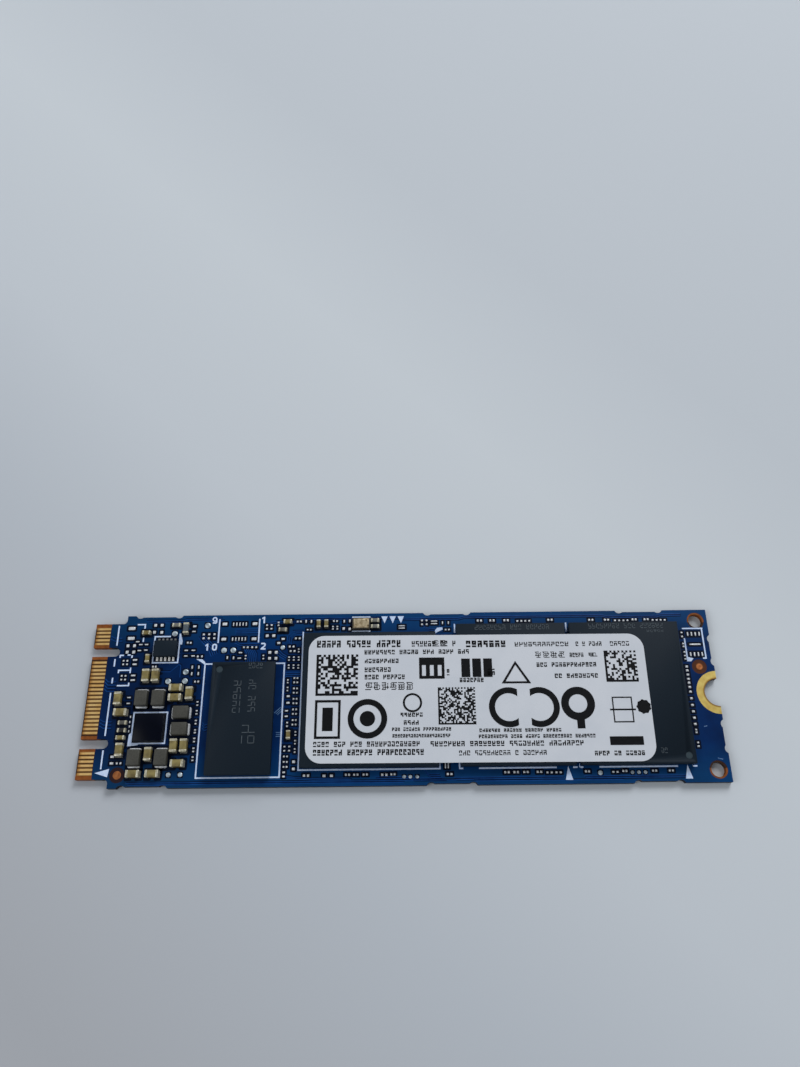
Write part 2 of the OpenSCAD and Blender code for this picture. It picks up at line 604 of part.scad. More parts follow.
// Bare soldered pads of each area
module pads(places, size) at(places) plate(size, solder_h);
module connector_end_pads() color("silver") on_board() {
  pads([[4.7, 9.3], [4.75, 7.95]], [0.95, 0.45]);
  pads([[7.75, 9.7], [8.6, 9.7], [7.7, 8.75], [8.65, 8.72], [4.45, 6.95], [5.3, 6.95],
    [4.45, 6.1], [5.3, 6.1]], [0.4, 0.42]);
  pads([[5.65, 7.5], [6.1, 7.1], [6.85, 7.1], [6.0, 6.3], [6.85, 6.35], [12.1, 6.25],
    [13.02, 6.25], [12.1, 5.5], [13.05, 5.5], [5.4, 0.15], [5.4, -0.6], [12.85, 8.8]], [0.5, 0.18]);
  for (y = [5.05, 4.47, 3.0, 2.4]) pads([[5.6, y]], [0.6, 0.24]);
  for (x = [4.13, 4.62], y = [4.95, 4.48, 2.97, 2.48]) pads([[x, y]], [0.24, 0.24]);
  pads([[8.0, 4.12], [8.36, 4.12], [12.2, 7.28], [12.58, 7.26], [13.6, 2.1], [14.02, 2.1],
    [13.66, 5.42], [14.2, 5.42], [4.9, -8.0], [5.35, -8.0]], [0.24, 0.28]);
  for (x = [13.08, 13.93], y = [4.0, 3.15]) pads([[x, y]], [0.2, 0.45]);
  pads([[4.25, -7.2], [4.25, -8.0], [12.9, 9.5]], [0.5, 0.3]);
  pads([[5.9, -2.3], [5.88, -2.95], [5.9, -3.5], [5.88, -4.1]], [0.16, 0.3]);
  for (x = [14.2, 14.9, 15.6], y = [8.38, 7.85]) if (x < front_l) pads([[x, y]], [0.3, 0.28]);
  for (y = [-0.5, -0.92, -1.62, -2.02, -2.85, -3.25, -4.02, -4.35, -5.07, -5.47, -6.27, -6.67,
    -7.35, -7.75]) pads([[14.15, y]], [0.28, 0.2]);
}
module debug_connector_pads() color("silver") on_board() translate([memory_x, memory_top, 0]) {
  for (x = [0.95, 4.9], y = [5.42, 3.35]) pads([[x, y]], [0.66, 0.42]);
  for (k = [0:4], y = [5.38, 3.35]) pads([[2.1 + 0.415 * k, y]], [0.17, 0.5]);
  for (x = [3.65, 4.15, 4.73, 5.25]) pads([[x, 2.22]], [0.26, 0.26]);
  pads([[1.6, 0.85], [2.4, 0.82]], [0.2, 0.44]);
  pads([[3.15, 0.77], [3.25, 1.52]], [0.5, 0.2]);
  pads([[3.95, 1.1], [3.95, 0.7], [6.25, 1.1], [6.25, 0.68]], [0.25, 0.2]);
}
module memory_side_pads() color("silver") on_board() translate([controller_x, 0, 0]) {
  for (x = [-4.45, -3.62], y = [5.85, 5.05]) pads([[x, y]], [0.4, 0.42]);
  pads([[-4.9, 8.1], [-4.05, 8.1]], [0.42, 0.4]);
  for (x = [-5, -4.4], y = [9.55, 9.05]) pads([[x, y]], [0.26, 0.24]);
  pads([[-3.5, 9.9], [-3.5, 9.52]], [0.25, 0.22]);
  pads([[-2.8, 7.65], [-3.35, 7.1]], [0.45, 0.3]);
  pads([[-1.15, 7.7], [-0.65, 7.7], [-1.9, 6.6], [-1.4, 6.6], [-1.75, 6], [-1.25, 6]], [0.27, 0.27]);
  pads([[-0.7, 6.25], [-0.7, 5.9]], [0.24, 0.2]);
  for (x = [-1.92, -1.3, -0.67], y = [5.18, 4.8, 4.12, 3.76]) pads([[x, y]], [0.25, 0.2]);
  for (y = [2.2, 1.85, 1.22, 0.82]) pads([[-1.95, y]], [0.22, 0.2]);
  for (k = [0:9], x = [-1.12, -0.72]) pads([[x, 2.42 - 0.67 * k + 0.12 * (k % 2)]], [0.24, 0.24]);
  for (y = [-4.4, -4.78, -5.48, -5.85, -6.5, -6.88]) pads([[-0.7, y]], [0.24, 0.2]);
  pads([[-1.8, 0.1], [-1.8, -0.75]], [0.45, 0.26]);
  pads([[-1.95, -1.75], [-1.95, -2.45]], [0.42, 0.2]);
  pads([[-1.8, -3.25], [-1.8, -3.7], [-2, -6.2], [-2, -6.7], [-1.4, -6.2], [-1.4, -6.7]], [0.26, 0.2]);
  for (y = [-7.4, -8.05, -8.65]) pads([[-2, y], [-1.62, y]], [0.24, 0.22]);
  pads([[-1.95, -9.3], [-1.95, -9.8]], [0.34, 0.22]);
  pads([[-0.78, -8.05], [-0.78, -8.9]], [0.38, 0.34]);
}
// Pads in pairs along a strip, each place giving the middle of a pair
module pad_pairs(middles, y, step, size) for (x = middles) pads([[x - step / 2, y], [x + step / 2, y]], size);
module far_strip_pads() color("silver") on_board() {
  translate([controller_x, far_y, 0]) {
    pad_pairs([-0.8, 3.95], -1, 0.42, [0.26, 0.26]);
    pads([[0.1, -1], [0.8, -1], [5.12, -1.05], [5.85, -1]], [0.22, 0.44]);
    pads([[0.35, -2.15], [0.76, -2.15], [3.65, -1.75], [4.22, -1.75], [3.65, -2.08],
      [4.22, -2.08]], [0.25, 0.22]);
    pads([[5.06, -2.05], [5.85, -2.1]], [0.34, 0.4]);
    pads([[12.65, -1.75], [12.65, -2.07], [16.9, -1.15], [16.9, -1.5]], [0.9, 0.16]);
    for (x = [15.32, 15.92], y = [-1.05, -1.58]) pads([[x, y]], [0.26, 0.26]);
    pads([[18, -1.4], [18.77, -1.4]], [0.16, 0.42]);
    pad_pairs([18.6], -2.35, 0.42, [0.26, 0.24]);
  }
  translate([flash_1_x, far_y, 0]) {
    pad_pairs([3.15, 4.8, 6.65, 12.4], -1.17, 0.44, [0.28, 0.34]);
    pad_pairs([8.38, 9.42], -1.28, 0.52, [0.28, 0.28]);
  }
  translate([flash_2_x, far_y, 0]) {
    pad_pairs([3.15, 5.2, 8.82, 10.4], -1.25, 0.42, [0.28, 0.32]);
    pad_pairs([6.58, 7.67, 11.5, 12.55], -1.36, 0.54, [0.28, 0.26]);
  }
}
module near_strip_pads() color("silver") on_board() {
  translate([controller_x, edge_strip, 0]) {
    pad_pairs([0.8, 10.35], -0.05, 0.5, [0.3, 0.32]);
    pads([[3, -0.1], [3.9, -0.1]], [0.4, 0.34]);
    pad_pairs([5.85, 6.88, 8.02, 11.4], 0, 0.4, [0.26, 0.28]);
    pads([[17.82, 1], [18.18, 1]], [0.16, 0.78]);
    pad_pairs([18.3], -0.05, 0.44, [0.28, 0.28]);
  }
  translate([flash_1_x, edge_strip, 0]) {
    pad_pairs([5.6, 6.72, 7.92, 9.55], 0.1, 0.42, [0.28, 0.3]);
    pad_pairs([10.78, 11.88], 0.02, 0.52, [0.28, 0.26]);
  }
  translate([flash_2_x, edge_strip, 0]) {
    pad_pairs([0.8, 5.35, 8.97, 11], 0.1, 0.38, [0.26, 0.28]);
    pad_pairs([4.2], 0, 0.5, [0.28, 0.24]);
  }
}
module screw_end_pads() color("silver") on_board() {
  for (y = [7.9, 7.35, 6.4, 6.02, 5.28, 4.8, 4.35, -4.68, -5.02, -6.25, -6.7])
    pads([[rear_pads_x, y]], [0.3, 0.22]);
  for (y = [3.35, 2.85, 2.3, 1.75, 1.25, 0.7, 0.1, -0.75, -1.6, -2.4, -3.2, -3.98])
    pads([[rear_pads_x, y]], [0.4, 0.3]);
  translate([footprint_c[0], footprint_c[1], 0]) {
    for (k = [-1.5:1.5], y = [1.3, -1.42]) pads([[k * 0.5, y]], [0.2, 0.56]);
    pads([[0, -0.1]], [1.6, 0.2]);
  }
}

module on_label(z) along() translate([label_c[0], label_c[1], package_top_z + z])
  rotate(-label_turn) children();
module label() color("whitesmoke") on_label(0) linear_extrude(label_t)
  round_box2([label_l, label_w], label_r);

// The artwork is drawn for a label of this size, and is stretched with the label
artwork = [42.85, 16.1];
module artwork2() scale([label_l / artwork[0], label_w / artwork[1]])
  translate(-artwork / 2) children();
// A pseudo-random whole number below n, from two whole numbers
function scatter(i, j, n) = (i * i * 31 + j * j * 17 + i * j * 13 + i * 7 + j * 5 + 11) % n;
// Printed words: each letter is one stroke pattern that spells nothing
module glyph2(kind, w, h, s) {
  square([s, h]);
  if (kind == 0 || kind == 3) translate([0, h - s]) square([w, s]);
  if (kind == 1 || kind == 3) square([w, s]);
  if (kind == 2) translate([0, (h - s) / 2]) square([w, s]);
}
thin = 0.1;
bold = 0.22;
small_print = 0.5;
module words2(x, y, l, h, seed, s) {
  step = h < small_print ? h * 1.25 : h;
  n = floor(l / step);
  translate([x, y]) for (i = [0:n - 1])
    if (scatter(i, seed, 7) != 3) translate([i * step, 0])
      if (h < small_print) square([bold, h]);
      else glyph2(scatter(i, seed + 3, 5), step * 0.64, h, s);
}
module label_print() color("black") on_label(label_t) linear_extrude(print_t) artwork2() {
  words2(1.1, 14.2, 11.3, 0.82, 2, bold);
  words2(13.3, 14.2, 6.2, 0.7, 5, thin);
  words2(20.3, 14.1, 5.7, 0.88, 9, bold);
  words2(26.5, 14.15, 7.4, 0.6, 4, thin);
  words2(34.4, 14.15, 7.6, 0.6, 8, thin);
  words2(7.3, 13.25, 14.1, 0.58, 6, thin);
  for (k = [0:3]) words2(7.3, 12.1 - 1.15 * k, [4.8, 3.8, 5.4, 6][k], 0.6, 3 + k, thin);
  words2(29, 12.85, 7.7, 0.66, 12, bold * 0.7);
  words2(29.2, 11.5, 7.8, 0.6, 7, thin);
  words2(31.4, 10.2, 5.7, 0.6, 15, thin);
  words2(19.3, 9.7, 3.4, 0.6, 13, thin);
  words2(11.8, 5.5, 2.9, 0.55, 14, thin);
  words2(12, 4.5, 2.6, 0.55, 16, thin);
  words2(10.8, 3.7, 7, 0.4, 17, thin);
  words2(10.8, 2.95, 7, 0.4, 18, thin);
  words2(21.2, 3.75, 9.2, 0.4, 19, thin);
  words2(21.2, 3, 13.4, 0.4, 20, thin);
  words2(1, 1.95, 13.6, 0.62, 21, thin);
  words2(15.4, 1.95, 20, 0.6, 22, thin);
  words2(1, 1, 14.1, 0.6, 23, bold * 0.75);
  words2(18.6, 0.9, 11.2, 0.62, 24, thin);
  words2(35, 0.8, 6.7, 0.6, 25, thin);
}
// Square codes of made-up cells with a solid edge on two sides. The ink spreads past each cell
spread = 0.015;
module code2(x, y, side, n, seed) translate([x, y]) {
  c = side / n;
  square([c + spread, side]);
  square([side, c + spread]);
  for (j = [1:n - 1], i = [1:n - 1])
    if (scatter(i + seed, j, 9) < 4 || (j == n - 1 && i % 2 == 0) || (i == n - 1 && j % 2 == 1))
      translate([i * c - spread, j * c - spread]) square(c + 2 * spread);
}
module label_codes() color("black") on_label(label_t) linear_extrude(print_t) artwork2() {
  code2(1.1, 8.15, 5.3, 14, 3);
  code2(16.3, 4.4, 4.65, 16, 8);
  code2(37.7, 9.85, 4.05, 14, 5);
}
// Plain shapes in the places of the larger printed symbols
module ring2(r, w) difference() {
  circle(r, $fn = 28);
  circle(r - w, $fn = 28);
}
module label_symbols() color("black") on_label(label_t) linear_extrude(print_t) artwork2() {
  translate([2.65, 5.35]) difference() {
    box2([3.2, 4.8]);
    box2([2.6, 4.2]);
  }
  translate([2.65, 5.35]) box2([1.3, 2.9]);
  translate([7.6, 5.4]) {
    ring2(2.45, 0.72);
    circle(0.95, $fn = 20);
  }
  translate([13.2, 7.35]) ring2(1.2, 0.25);
  translate([15.7, 11.75]) difference() {
    box2([3.2, 2.75]);
    for (k = [-1:1]) translate([k, -0.3]) box2([0.5, 1.4]);
  }
  for (k = [0:2]) translate([20 + 1.4 * k, 11.75]) box2([1.1, 2.4]);
  translate([26.3, 10.9]) difference() {
    polygon([[-1.85, -1.2], [1.85, -1.2], [0, 1.7]]);
    polygon([[-1.35, -0.95], [1.35, -0.95], [0, 1.2]]);
  }
  for (k = [0, 1]) translate([25.2 + 3.8 * k, 6.7]) mirror([k, 0]) difference() {
    ring2(2.5, 0.75);
    translate([1.1, -3]) square([2, 6]);
  }
  translate([33.8, 7.1]) {
    ring2(2.1, 0.95);
    translate([-0.3, -3.1]) square([0.95, 1.6]);
  }
  translate([39.3, 6.3]) {
    difference() {
      box2([2.5, 3.2]);
      box2([2.2, 2.9]);
    }
    box2([3.2, 0.2]);
  }
  translate([37.3, 1.95]) square([4.1, 1.05]);
}
module label_ink_dot() color("black") on_label(label_t) linear_extrude(print_t) artwork2()
  translate([artwork[0] - 0.92, 6.65]) {
    circle(0.84, $fn = 12);
    for (a = [20:40:340]) rotate(a) translate([0.72, 0]) circle(0.2, $fn = 8);
  }

circuit_board();
solder_mask_top();
solder_mask_bottom();
edge_contacts_top();
edge_contacts_bottom();
screw_ring();
alignment_discs();
board_print();
board_digits();
working_memory();
controller();
flash_package_1();
flash_package_2();
memory_solder_balls();
controller_solder_balls();
flash_1_solder_balls();
flash_2_solder_balls();
package_marks();
power_chip();
power_chip_solder();
regulator_chip();
regulator_leads();
inductor_cores();
inductor_feet();
large_capacitor_bodies();
large_capacitor_ends();
small_capacitor_bodies();
small_capacitor_ends();
small_resistor_bodies();
small_resistor_ends();
diode_body();
diode_ends();
crystal_base();
crystal_lid();
test_points();
connector_end_pads();
debug_connector_pads();
memory_side_pads();
far_strip_pads();
near_strip_pads();
screw_end_pads();
label();
label_print();
label_codes();
label_symbols();
label_ink_dot();
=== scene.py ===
import bpy
import bmesh
import math
import random
from mathutils import Matrix, Vector


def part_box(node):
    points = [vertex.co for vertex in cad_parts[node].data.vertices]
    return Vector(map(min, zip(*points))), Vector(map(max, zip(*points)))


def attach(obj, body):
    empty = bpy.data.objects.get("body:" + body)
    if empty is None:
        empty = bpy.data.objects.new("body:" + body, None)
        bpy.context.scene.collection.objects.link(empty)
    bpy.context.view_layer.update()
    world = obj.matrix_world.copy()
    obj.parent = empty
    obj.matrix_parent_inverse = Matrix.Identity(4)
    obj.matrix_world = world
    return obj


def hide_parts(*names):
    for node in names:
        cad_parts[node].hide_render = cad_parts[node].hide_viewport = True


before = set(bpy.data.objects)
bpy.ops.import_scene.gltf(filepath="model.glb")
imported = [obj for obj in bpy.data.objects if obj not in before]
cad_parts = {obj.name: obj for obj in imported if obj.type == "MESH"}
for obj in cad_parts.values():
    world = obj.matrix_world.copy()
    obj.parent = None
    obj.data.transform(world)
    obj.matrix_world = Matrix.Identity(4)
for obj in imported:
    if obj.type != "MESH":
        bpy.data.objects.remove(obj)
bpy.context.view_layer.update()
MM = 0.001

# Floor, light and camera. The drive lies on a pale blue-grey table. A wide soft lamp lights it
# from behind and to the right, a weaker one from the left, and it is seen from above its near edge.


def tint(r, g, b):
    """A colour as a screen shows it, 0 to 255, turned into Blender's linear values."""
    return tuple((v / 255 / 12.92 if v <= 10 else ((v / 255 + 0.055) / 1.055) ** 2.4)
                 for v in (r, g, b)) + (1.0,)


def put(tree, kind, inputs=(), **settings):
    """Adds one shader node. A socket among the inputs is linked, any other value is set."""
    made = tree.nodes.new("ShaderNode" + kind)
    for key, value in settings.items():
        setattr(made, key, value)
    for key, value in dict(inputs).items():
        if isinstance(value, bpy.types.NodeSocket):
            tree.links.new(value, made.inputs[key])
        else:
            made.inputs[key].default_value = value
    return made


def calc(tree, operation, *values):
    """One sum or comparison of sockets and numbers."""
    return put(tree, "Math", dict(enumerate(values)), operation=operation).outputs[0]


def span(tree, value, start, end, low=0.0, high=1.0):
    """Low where a value is at its start, high where it is at its end, and held beyond both."""
    return put(tree, "MapRange", {"Value": value, "From Min": start, "From Max": end,
                                  "To Min": low, "To Max": high}).outputs[0]


def finish_of(name, rough, metal=0.0, gloss=0.5):
    """A new material, its node tree and its Principled shader."""
    mat = bpy.data.materials.new(name)
    mat.use_nodes = True
    shader = mat.node_tree.nodes["Principled BSDF"]
    shader.inputs["Roughness"].default_value = rough
    shader.inputs["Metallic"].default_value = metal
    shader.inputs["Specular IOR Level"].default_value = gloss
    return mat, mat.node_tree, shader


def paint(tree, shader, colour):
    """Links a colour to the shader."""
    tree.links.new(colour, shader.inputs["Base Color"])


def place_in_mm(tree):
    """The place on the object in millimetres."""
    place = put(tree, "TexCoord").outputs["Object"]
    return put(tree, "Mapping", {"Vector": place, "Scale": [1 / MM] * 3}).outputs[0]


def x_and_y(tree):
    """How far along X and along Y a place is, in millimetres."""
    parts = put(tree, "SeparateXYZ", {"Vector": place_in_mm(tree)})
    return parts.outputs[0], parts.outputs[1]


table_side, table_gap = 3, 0.02
bpy.ops.mesh.primitive_plane_add(size=table_side, location=(0, 0, -table_gap * MM))
table_top = bpy.context.active_object
table_top.name = "table_top"
mat, tree, shader = finish_of("pale_table", 0.75, gloss=0.2)
x, y = x_and_y(tree)
# Painted light and shade: the table is coloured darker towards the near left and paler towards the
# far right, as the lamps fall on it.
shade_per_mm, shade_at_drive = 0.006, 0.46
slope = calc(tree, "MULTIPLY", calc(tree, "ADD", x, y), shade_per_mm)
ramp = put(tree, "ValToRGB", {"Fac": calc(tree, "ADD", slope, shade_at_drive)})
near_left, far_right = ramp.color_ramp.elements
near_left.color = tint(176, 180, 187)
far_right.color = tint(200, 207, 215)
for spot, shade in ((0.3, tint(191, 198, 207)), (0.5, tint(204, 211, 219)),
                    (0.75, tint(209, 216, 223))):
    ramp.color_ramp.elements.new(spot).color = shade
paint(tree, shader, ramp.outputs["Color"])
table_top.data.materials.append(mat)

world = bpy.data.worlds.new("soft_room")
bpy.context.scene.world = world
world.use_nodes = True
sky = world.node_tree.nodes["Background"]
sky.inputs["Color"].default_value = (0.93, 0.97, 1.0, 1)
toward = put(world.node_tree, "TexCoord").outputs["Generated"]
height = put(world.node_tree, "SeparateXYZ", {"Vector": toward}).outputs[2]
dims_from, dims_to, wall_light, ceiling_light = 0.30, 0.92, 0.62, 0.14
level = span(world.node_tree, height, dims_from, dims_to, wall_light, ceiling_light)
world.node_tree.links.new(level, sky.inputs["Strength"])

lamp_size = 0.45
for name, spot, power in (("window_lamp", (0.33, 0.63, 0.57), 4.6),
                          ("side_lamp", (-0.54, -0.15, 0.51), 1.3)):
    bpy.ops.object.light_add(type="AREA", location=spot)
    lamp = bpy.context.active_object
    lamp.name = name
    lamp.data.size = lamp_size
    lamp.data.energy = power
    lamp.rotation_mode = "QUATERNION"
    lamp.rotation_quaternion = Vector(spot).to_track_quat("Z", "Y")

camera_place, camera_tilt = (0.3158, -25.9727, 107.8735), (24.3686, 0.4369, -0.5385)
bpy.ops.object.camera_add(location=[v * MM for v in camera_place],
                          rotation=[math.radians(v) for v in camera_tilt])
camera = bpy.context.active_object
camera.data.sensor_width = 36
camera.data.lens = 28.87
camera.data.clip_start = 0.005
camera.data.clip_end = 20
bpy.context.scene.camera = camera
bpy.context.scene.view_settings.view_transform = "Standard"

# Circuit board. Routed from a sheet of woven glass and epoxy: amber where it is bare between the
# contacts and in the drilled holes, nearly black along the routed edges. Between the contacts the
# amber is darkened by a painted shade.


def group_of(name, inputs, output, kind):
    """A new shader node group with its input sockets and one output socket."""
    made = bpy.data.node_groups.new(name, "ShaderNodeTree")
    for label, input_kind, value in inputs:
        socket = made.interface.new_socket(label, in_out="INPUT",
                                           socket_type="NodeSocket" + input_kind)
        if value is not None:
            socket.default_value = value
    made.interface.new_socket(output, in_out="OUTPUT", socket_type="NodeSocket" + kind)
    return made, made.nodes.new("NodeGroupInput").outputs, made.nodes.new("NodeGroupOutput").inputs


def blend_colours(tree, factor, first, second):
    """Mixes two colours by a factor, each a socket or a value."""
    mixed = put(tree, "Mix", {"Factor": factor, "A": first, "B": second}, data_type="RGBA")
    return mixed.outputs["Result"]


uneven_tone, given, result = group_of(
    "uneven_tone",
    [("Colour", "Color", None), ("Second colour", "Color", None), ("Grain per mm", "Float", 1.0),
     ("Detail", "Float", 3.0), ("Low", "Float", 0.35), ("High", "Float", 0.7)],
    "Colour", "Color")
noise = put(uneven_tone, "TexNoise", {"Vector": place_in_mm(uneven_tone),
                                      "Scale": given["Grain per mm"], "Detail": given["Detail"]})
patches = span(uneven_tone, noise.outputs["Fac"], given["Low"], given["High"])
uneven_tone.links.new(blend_colours(uneven_tone, patches, given["Colour"], given["Second colour"]),
                      result["Colour"])

fine_relief, given, result = group_of(
    "fine_relief",
    [("Grain per mm", "Float", 10.0), ("Strength", "Float", 0.2), ("Depth", "Float", 0.02 * MM)],
    "Normal", "Vector")
noise = put(fine_relief, "TexNoise", {"Vector": place_in_mm(fine_relief),
                                      "Scale": given["Grain per mm"], "Detail": 2.0})
bump = put(fine_relief, "Bump", {"Height": noise.outputs["Fac"], "Strength": given["Strength"],
                                 "Distance": given["Depth"]})
fine_relief.links.new(bump.outputs[0], result["Normal"])


def tone(tree, first, second, grain, detail=3.0, low=0.35, high=0.7):
    """A colour with patches of a second one, of so many grains per mm."""
    return put(tree, "Group", {"Colour": first, "Second colour": second, "Grain per mm": grain,
                               "Detail": detail, "Low": low, "High": high},
               node_tree=uneven_tone).outputs["Colour"]


def relief(tree, shader, grain, strength, depth):
    """A fine unevenness of so many grains per mm and a depth in mm."""
    made = put(tree, "Group", {"Grain per mm": grain, "Strength": strength, "Depth": depth * MM},
               node_tree=fine_relief)
    tree.links.new(made.outputs["Normal"], shader.inputs["Normal"])


def two_tone(name, rough, first, second, grain, patches=(), grit=None, metal=0.0, gloss=0.5):
    """A whole finish from two colours. Patches are tone's detail, low and high, and grit is
    relief's grain, strength and depth."""
    mat, tree, shader = finish_of(name, rough, metal, gloss)
    paint(tree, shader, tone(tree, first, second, grain, *patches))
    if grit:
        relief(tree, shader, *grit)
    return mat


def distance(tree, vector, point):
    """How far a place is from a point in mm."""
    return put(tree, "VectorMath", {0: vector, 1: point}, operation="DISTANCE").outputs["Value"]


def dress(mat, *nodes):
    """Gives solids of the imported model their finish."""
    for node in nodes:
        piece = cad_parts[node]
        piece.data.materials.clear()
        piece.data.materials.append(mat)


half_length, board_top = 40, 0.8
left_disc, right_disc, disc_opening = (-34.92, -9.43, board_top), (38.1, 3.35, board_top), 1.1
laminate, tree, shader = finish_of("glass_epoxy", 0.6, gloss=0.2)
vector = place_in_mm(tree)
x, y = x_and_y(tree)
dark = tone(tree, tint(12, 18, 36), tint(26, 24, 30), 2.2)
for disc, shade in ((left_disc, tint(38, 17, 24)), (right_disc, tint(78, 40, 24))):
    ringed = calc(tree, "LESS_THAN", distance(tree, vector, disc), disc_opening)
    dark = blend_colours(tree, ringed, dark, shade)

bare = tone(tree, tint(142, 80, 32), tint(108, 58, 20), 1.6)
layers = put(tree, "TexWave", {"Vector": vector, "Scale": 1.3, "Distortion": 0.6},
             wave_type="BANDS", bands_direction="Z")
bare = blend_colours(tree, calc(tree, "MULTIPLY", layers.outputs["Fac"], 0.5), bare,
                     tint(140, 80, 30))
# Painted shade: the bare laminate in the contact rows, outside the key slots, is darkened where the
# gaps between the fingers lie in shade.
key_slots_y, key_slot_side, row_end = (6.125, -5.625), 0.98, 9.3
between = calc(tree, "LESS_THAN", calc(tree, "ABSOLUTE", y), row_end)
for slot_y in key_slots_y:
    aside = calc(tree, "ABSOLUTE", calc(tree, "SUBTRACT", y, slot_y))
    between = calc(tree, "MULTIPLY", between, calc(tree, "GREATER_THAN", aside, key_slot_side))
bare = blend_colours(tree, between, bare, tint(58, 32, 12))

tongue_x, hole_x, hole_y, hole_r = -37.7, 38.5, 9.5, 1.17
amber = calc(tree, "LESS_THAN", x, tongue_x)
for side in (-1, 1):
    from_hole = distance(tree, vector, (hole_x, side * hole_y, board_top / 2))
    amber = calc(tree, "MAXIMUM", amber, calc(tree, "LESS_THAN", from_hole, hole_r))
paint(tree, shader, blend_colours(tree, amber, dark, bare))
relief(tree, shader, 6.0, 0.35, 0.04)
dress(laminate, "circuit_board")

# Solder mask. A deep blue lacquer printed over the copper on both faces and baked hard. It looks
# darker towards the tongue, and along the long edges it carries a paler painted sheen of the lamp.
lacquer, tree, shader = finish_of("blue_lacquer", 0.36, gloss=0.12)
x, y = x_and_y(tree)
colour = tone(tree, tint(0, 47, 104), tint(0, 31, 76), 0.22, 4.0)
shade_from, shade_to, sheen_from, sheen_to = -16.0, -36.0, 6.0, 10.0
to_tongue = span(tree, x, shade_from, shade_to, high=0.62)
colour = blend_colours(tree, to_tongue, colour, tint(0, 20, 52))
# Painted sheen: the lacquer is coloured paler towards the long edges.
painted_sheen_to_edge = span(tree, calc(tree, "ABSOLUTE", y), sheen_from, sheen_to, high=0.3)
paint(tree, shader, blend_colours(tree, painted_sheen_to_edge, colour, tint(16, 82, 128)))
relief(tree, shader, 0.8, 0.15, 0.04)
dress(lacquer, "solder_mask_top", "solder_mask_bottom")

# Contacts. Rows of hard gold over nickel and copper at the tongue's edge, on both faces. Each has
# a painted highlight along its middle, with painted shade towards its sides, and the gold is redder
# at the very end, where the board was bevelled.
hard_gold, tree, shader = finish_of("hard_gold", 0.36, metal=0.6)
x, y = x_and_y(tree)
colour = tone(tree, tint(252, 216, 146), tint(240, 194, 118), 0.9)
contact_pitch, red_from, red_to = 0.5, -39.45, -39.9
# Painted shade towards the sides of each finger, so that its middle looks to shine.
turns = calc(tree, "FRACT", calc(tree, "DIVIDE", y, contact_pitch))
from_middle = calc(tree, "ABSOLUTE", calc(tree, "SUBTRACT", turns, 0.5))
painted_shade_to_sides = span(tree, from_middle, 0.1, 0.34, high=0.7)
colour = blend_colours(tree, painted_shade_to_sides, colour, tint(158, 98, 40))
to_tip = span(tree, x, red_from, red_to)
paint(tree, shader, blend_colours(tree, to_tip, colour, tint(176, 116, 48)))
dress(hard_gold, "edge_contacts_top", "edge_contacts_bottom")

# Screw ring. Copper round the half hole, plated with nickel and gold so that it can touch the
# screw's head, and darker along its inner rim.
plated, tree, shader = finish_of("plated_ring", 0.4, metal=0.8)
colour = tone(tree, tint(232, 208, 122), tint(214, 182, 96), 1.4)
flat_place = put(tree, "VectorMath", {0: place_in_mm(tree), 1: (1, 1, 0)},
                 operation="MULTIPLY").outputs[0]
half_hole, rim_dark_from, rim_dark_to = (half_length, 0, 0), 2.0, 1.8
rim = span(tree, distance(tree, flat_place, half_hole), rim_dark_from, rim_dark_to)
paint(tree, shader, blend_colours(tree, rim, colour, tint(150, 108, 48)))
relief(tree, shader, 5.0, 0.15, 0.02)
dress(plated, "screw_ring")

# Alignment discs. Bare copper that the placing machine looks for, etched with the tracks and
# dulled by air. The right one has gone brown round its edge.
copper, tree, shader = finish_of("bare_copper", 0.5, metal=0.9)
colour = tone(tree, tint(188, 122, 76), tint(150, 90, 52), 2.4)
bright_r, brown_r = 0.34, 0.44
browned = span(tree, distance(tree, place_in_mm(tree), right_disc), bright_r, brown_r)
at_right = calc(tree, "GREATER_THAN", x_and_y(tree)[0], 0.0)
browned = calc(tree, "MULTIPLY", browned, at_right)
paint(tree, shader, blend_colours(tree, browned, colour, tint(104, 62, 36)))
dress(copper, "alignment_discs")

# Printing on the board. Bluish white ink squeezed through a screen onto the lacquer: the frames
# round the packages, lines, triangles and pin digits.
ink = two_tone("board_ink", 0.6, tint(212, 229, 255), tint(188, 208, 246), 3.0, gloss=0.2)
dress(ink, "board_print", "board_digits")

# Solder. Tin alloy that was melted on the bare pads and drew itself into low rounded cushions,
# bright on top. The test points are round and scratched by probes, and balls carry the packages.


def solids_of(node):
    """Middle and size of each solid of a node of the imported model, in metres."""
    sorted_out = bmesh.new()
    sorted_out.from_mesh(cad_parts[node].data)
    bmesh.ops.remove_doubles(sorted_out, verts=sorted_out.verts, dist=1e-8)
    left, found = set(sorted_out.verts), []
    while left:
        reached = [left.pop()]
        for vert in reached:
            for edge in vert.link_edges:
                other = edge.other_vert(vert)
                if other in left:
                    left.remove(other)
                    reached.append(other)
        low = Vector([min(v.co[k] for v in reached) for k in range(3)])
        high = Vector([max(v.co[k] for v in reached) for k in range(3)])
        found.append(((low + high) / 2, high - low))
    sorted_out.free()
    return sorted(found, key=lambda f: tuple(round(v, 7) for v in f[0]))


def choose(*pieces):
    """Selects pieces and nothing else, with the first one active."""
    bpy.ops.object.select_all(action="DESELECT")
    for piece in pieces:
        piece.select_set(True)
    bpy.context.view_layer.objects.active = pieces[0]


def start(kind, **how):
    """Adds a primitive with nothing else selected and gives back its object."""
    bpy.ops.object.select_all(action="DESELECT")
    getattr(bpy.ops.mesh, "primitive_" + kind + "_add")(**how)
    return bpy.context.active_object


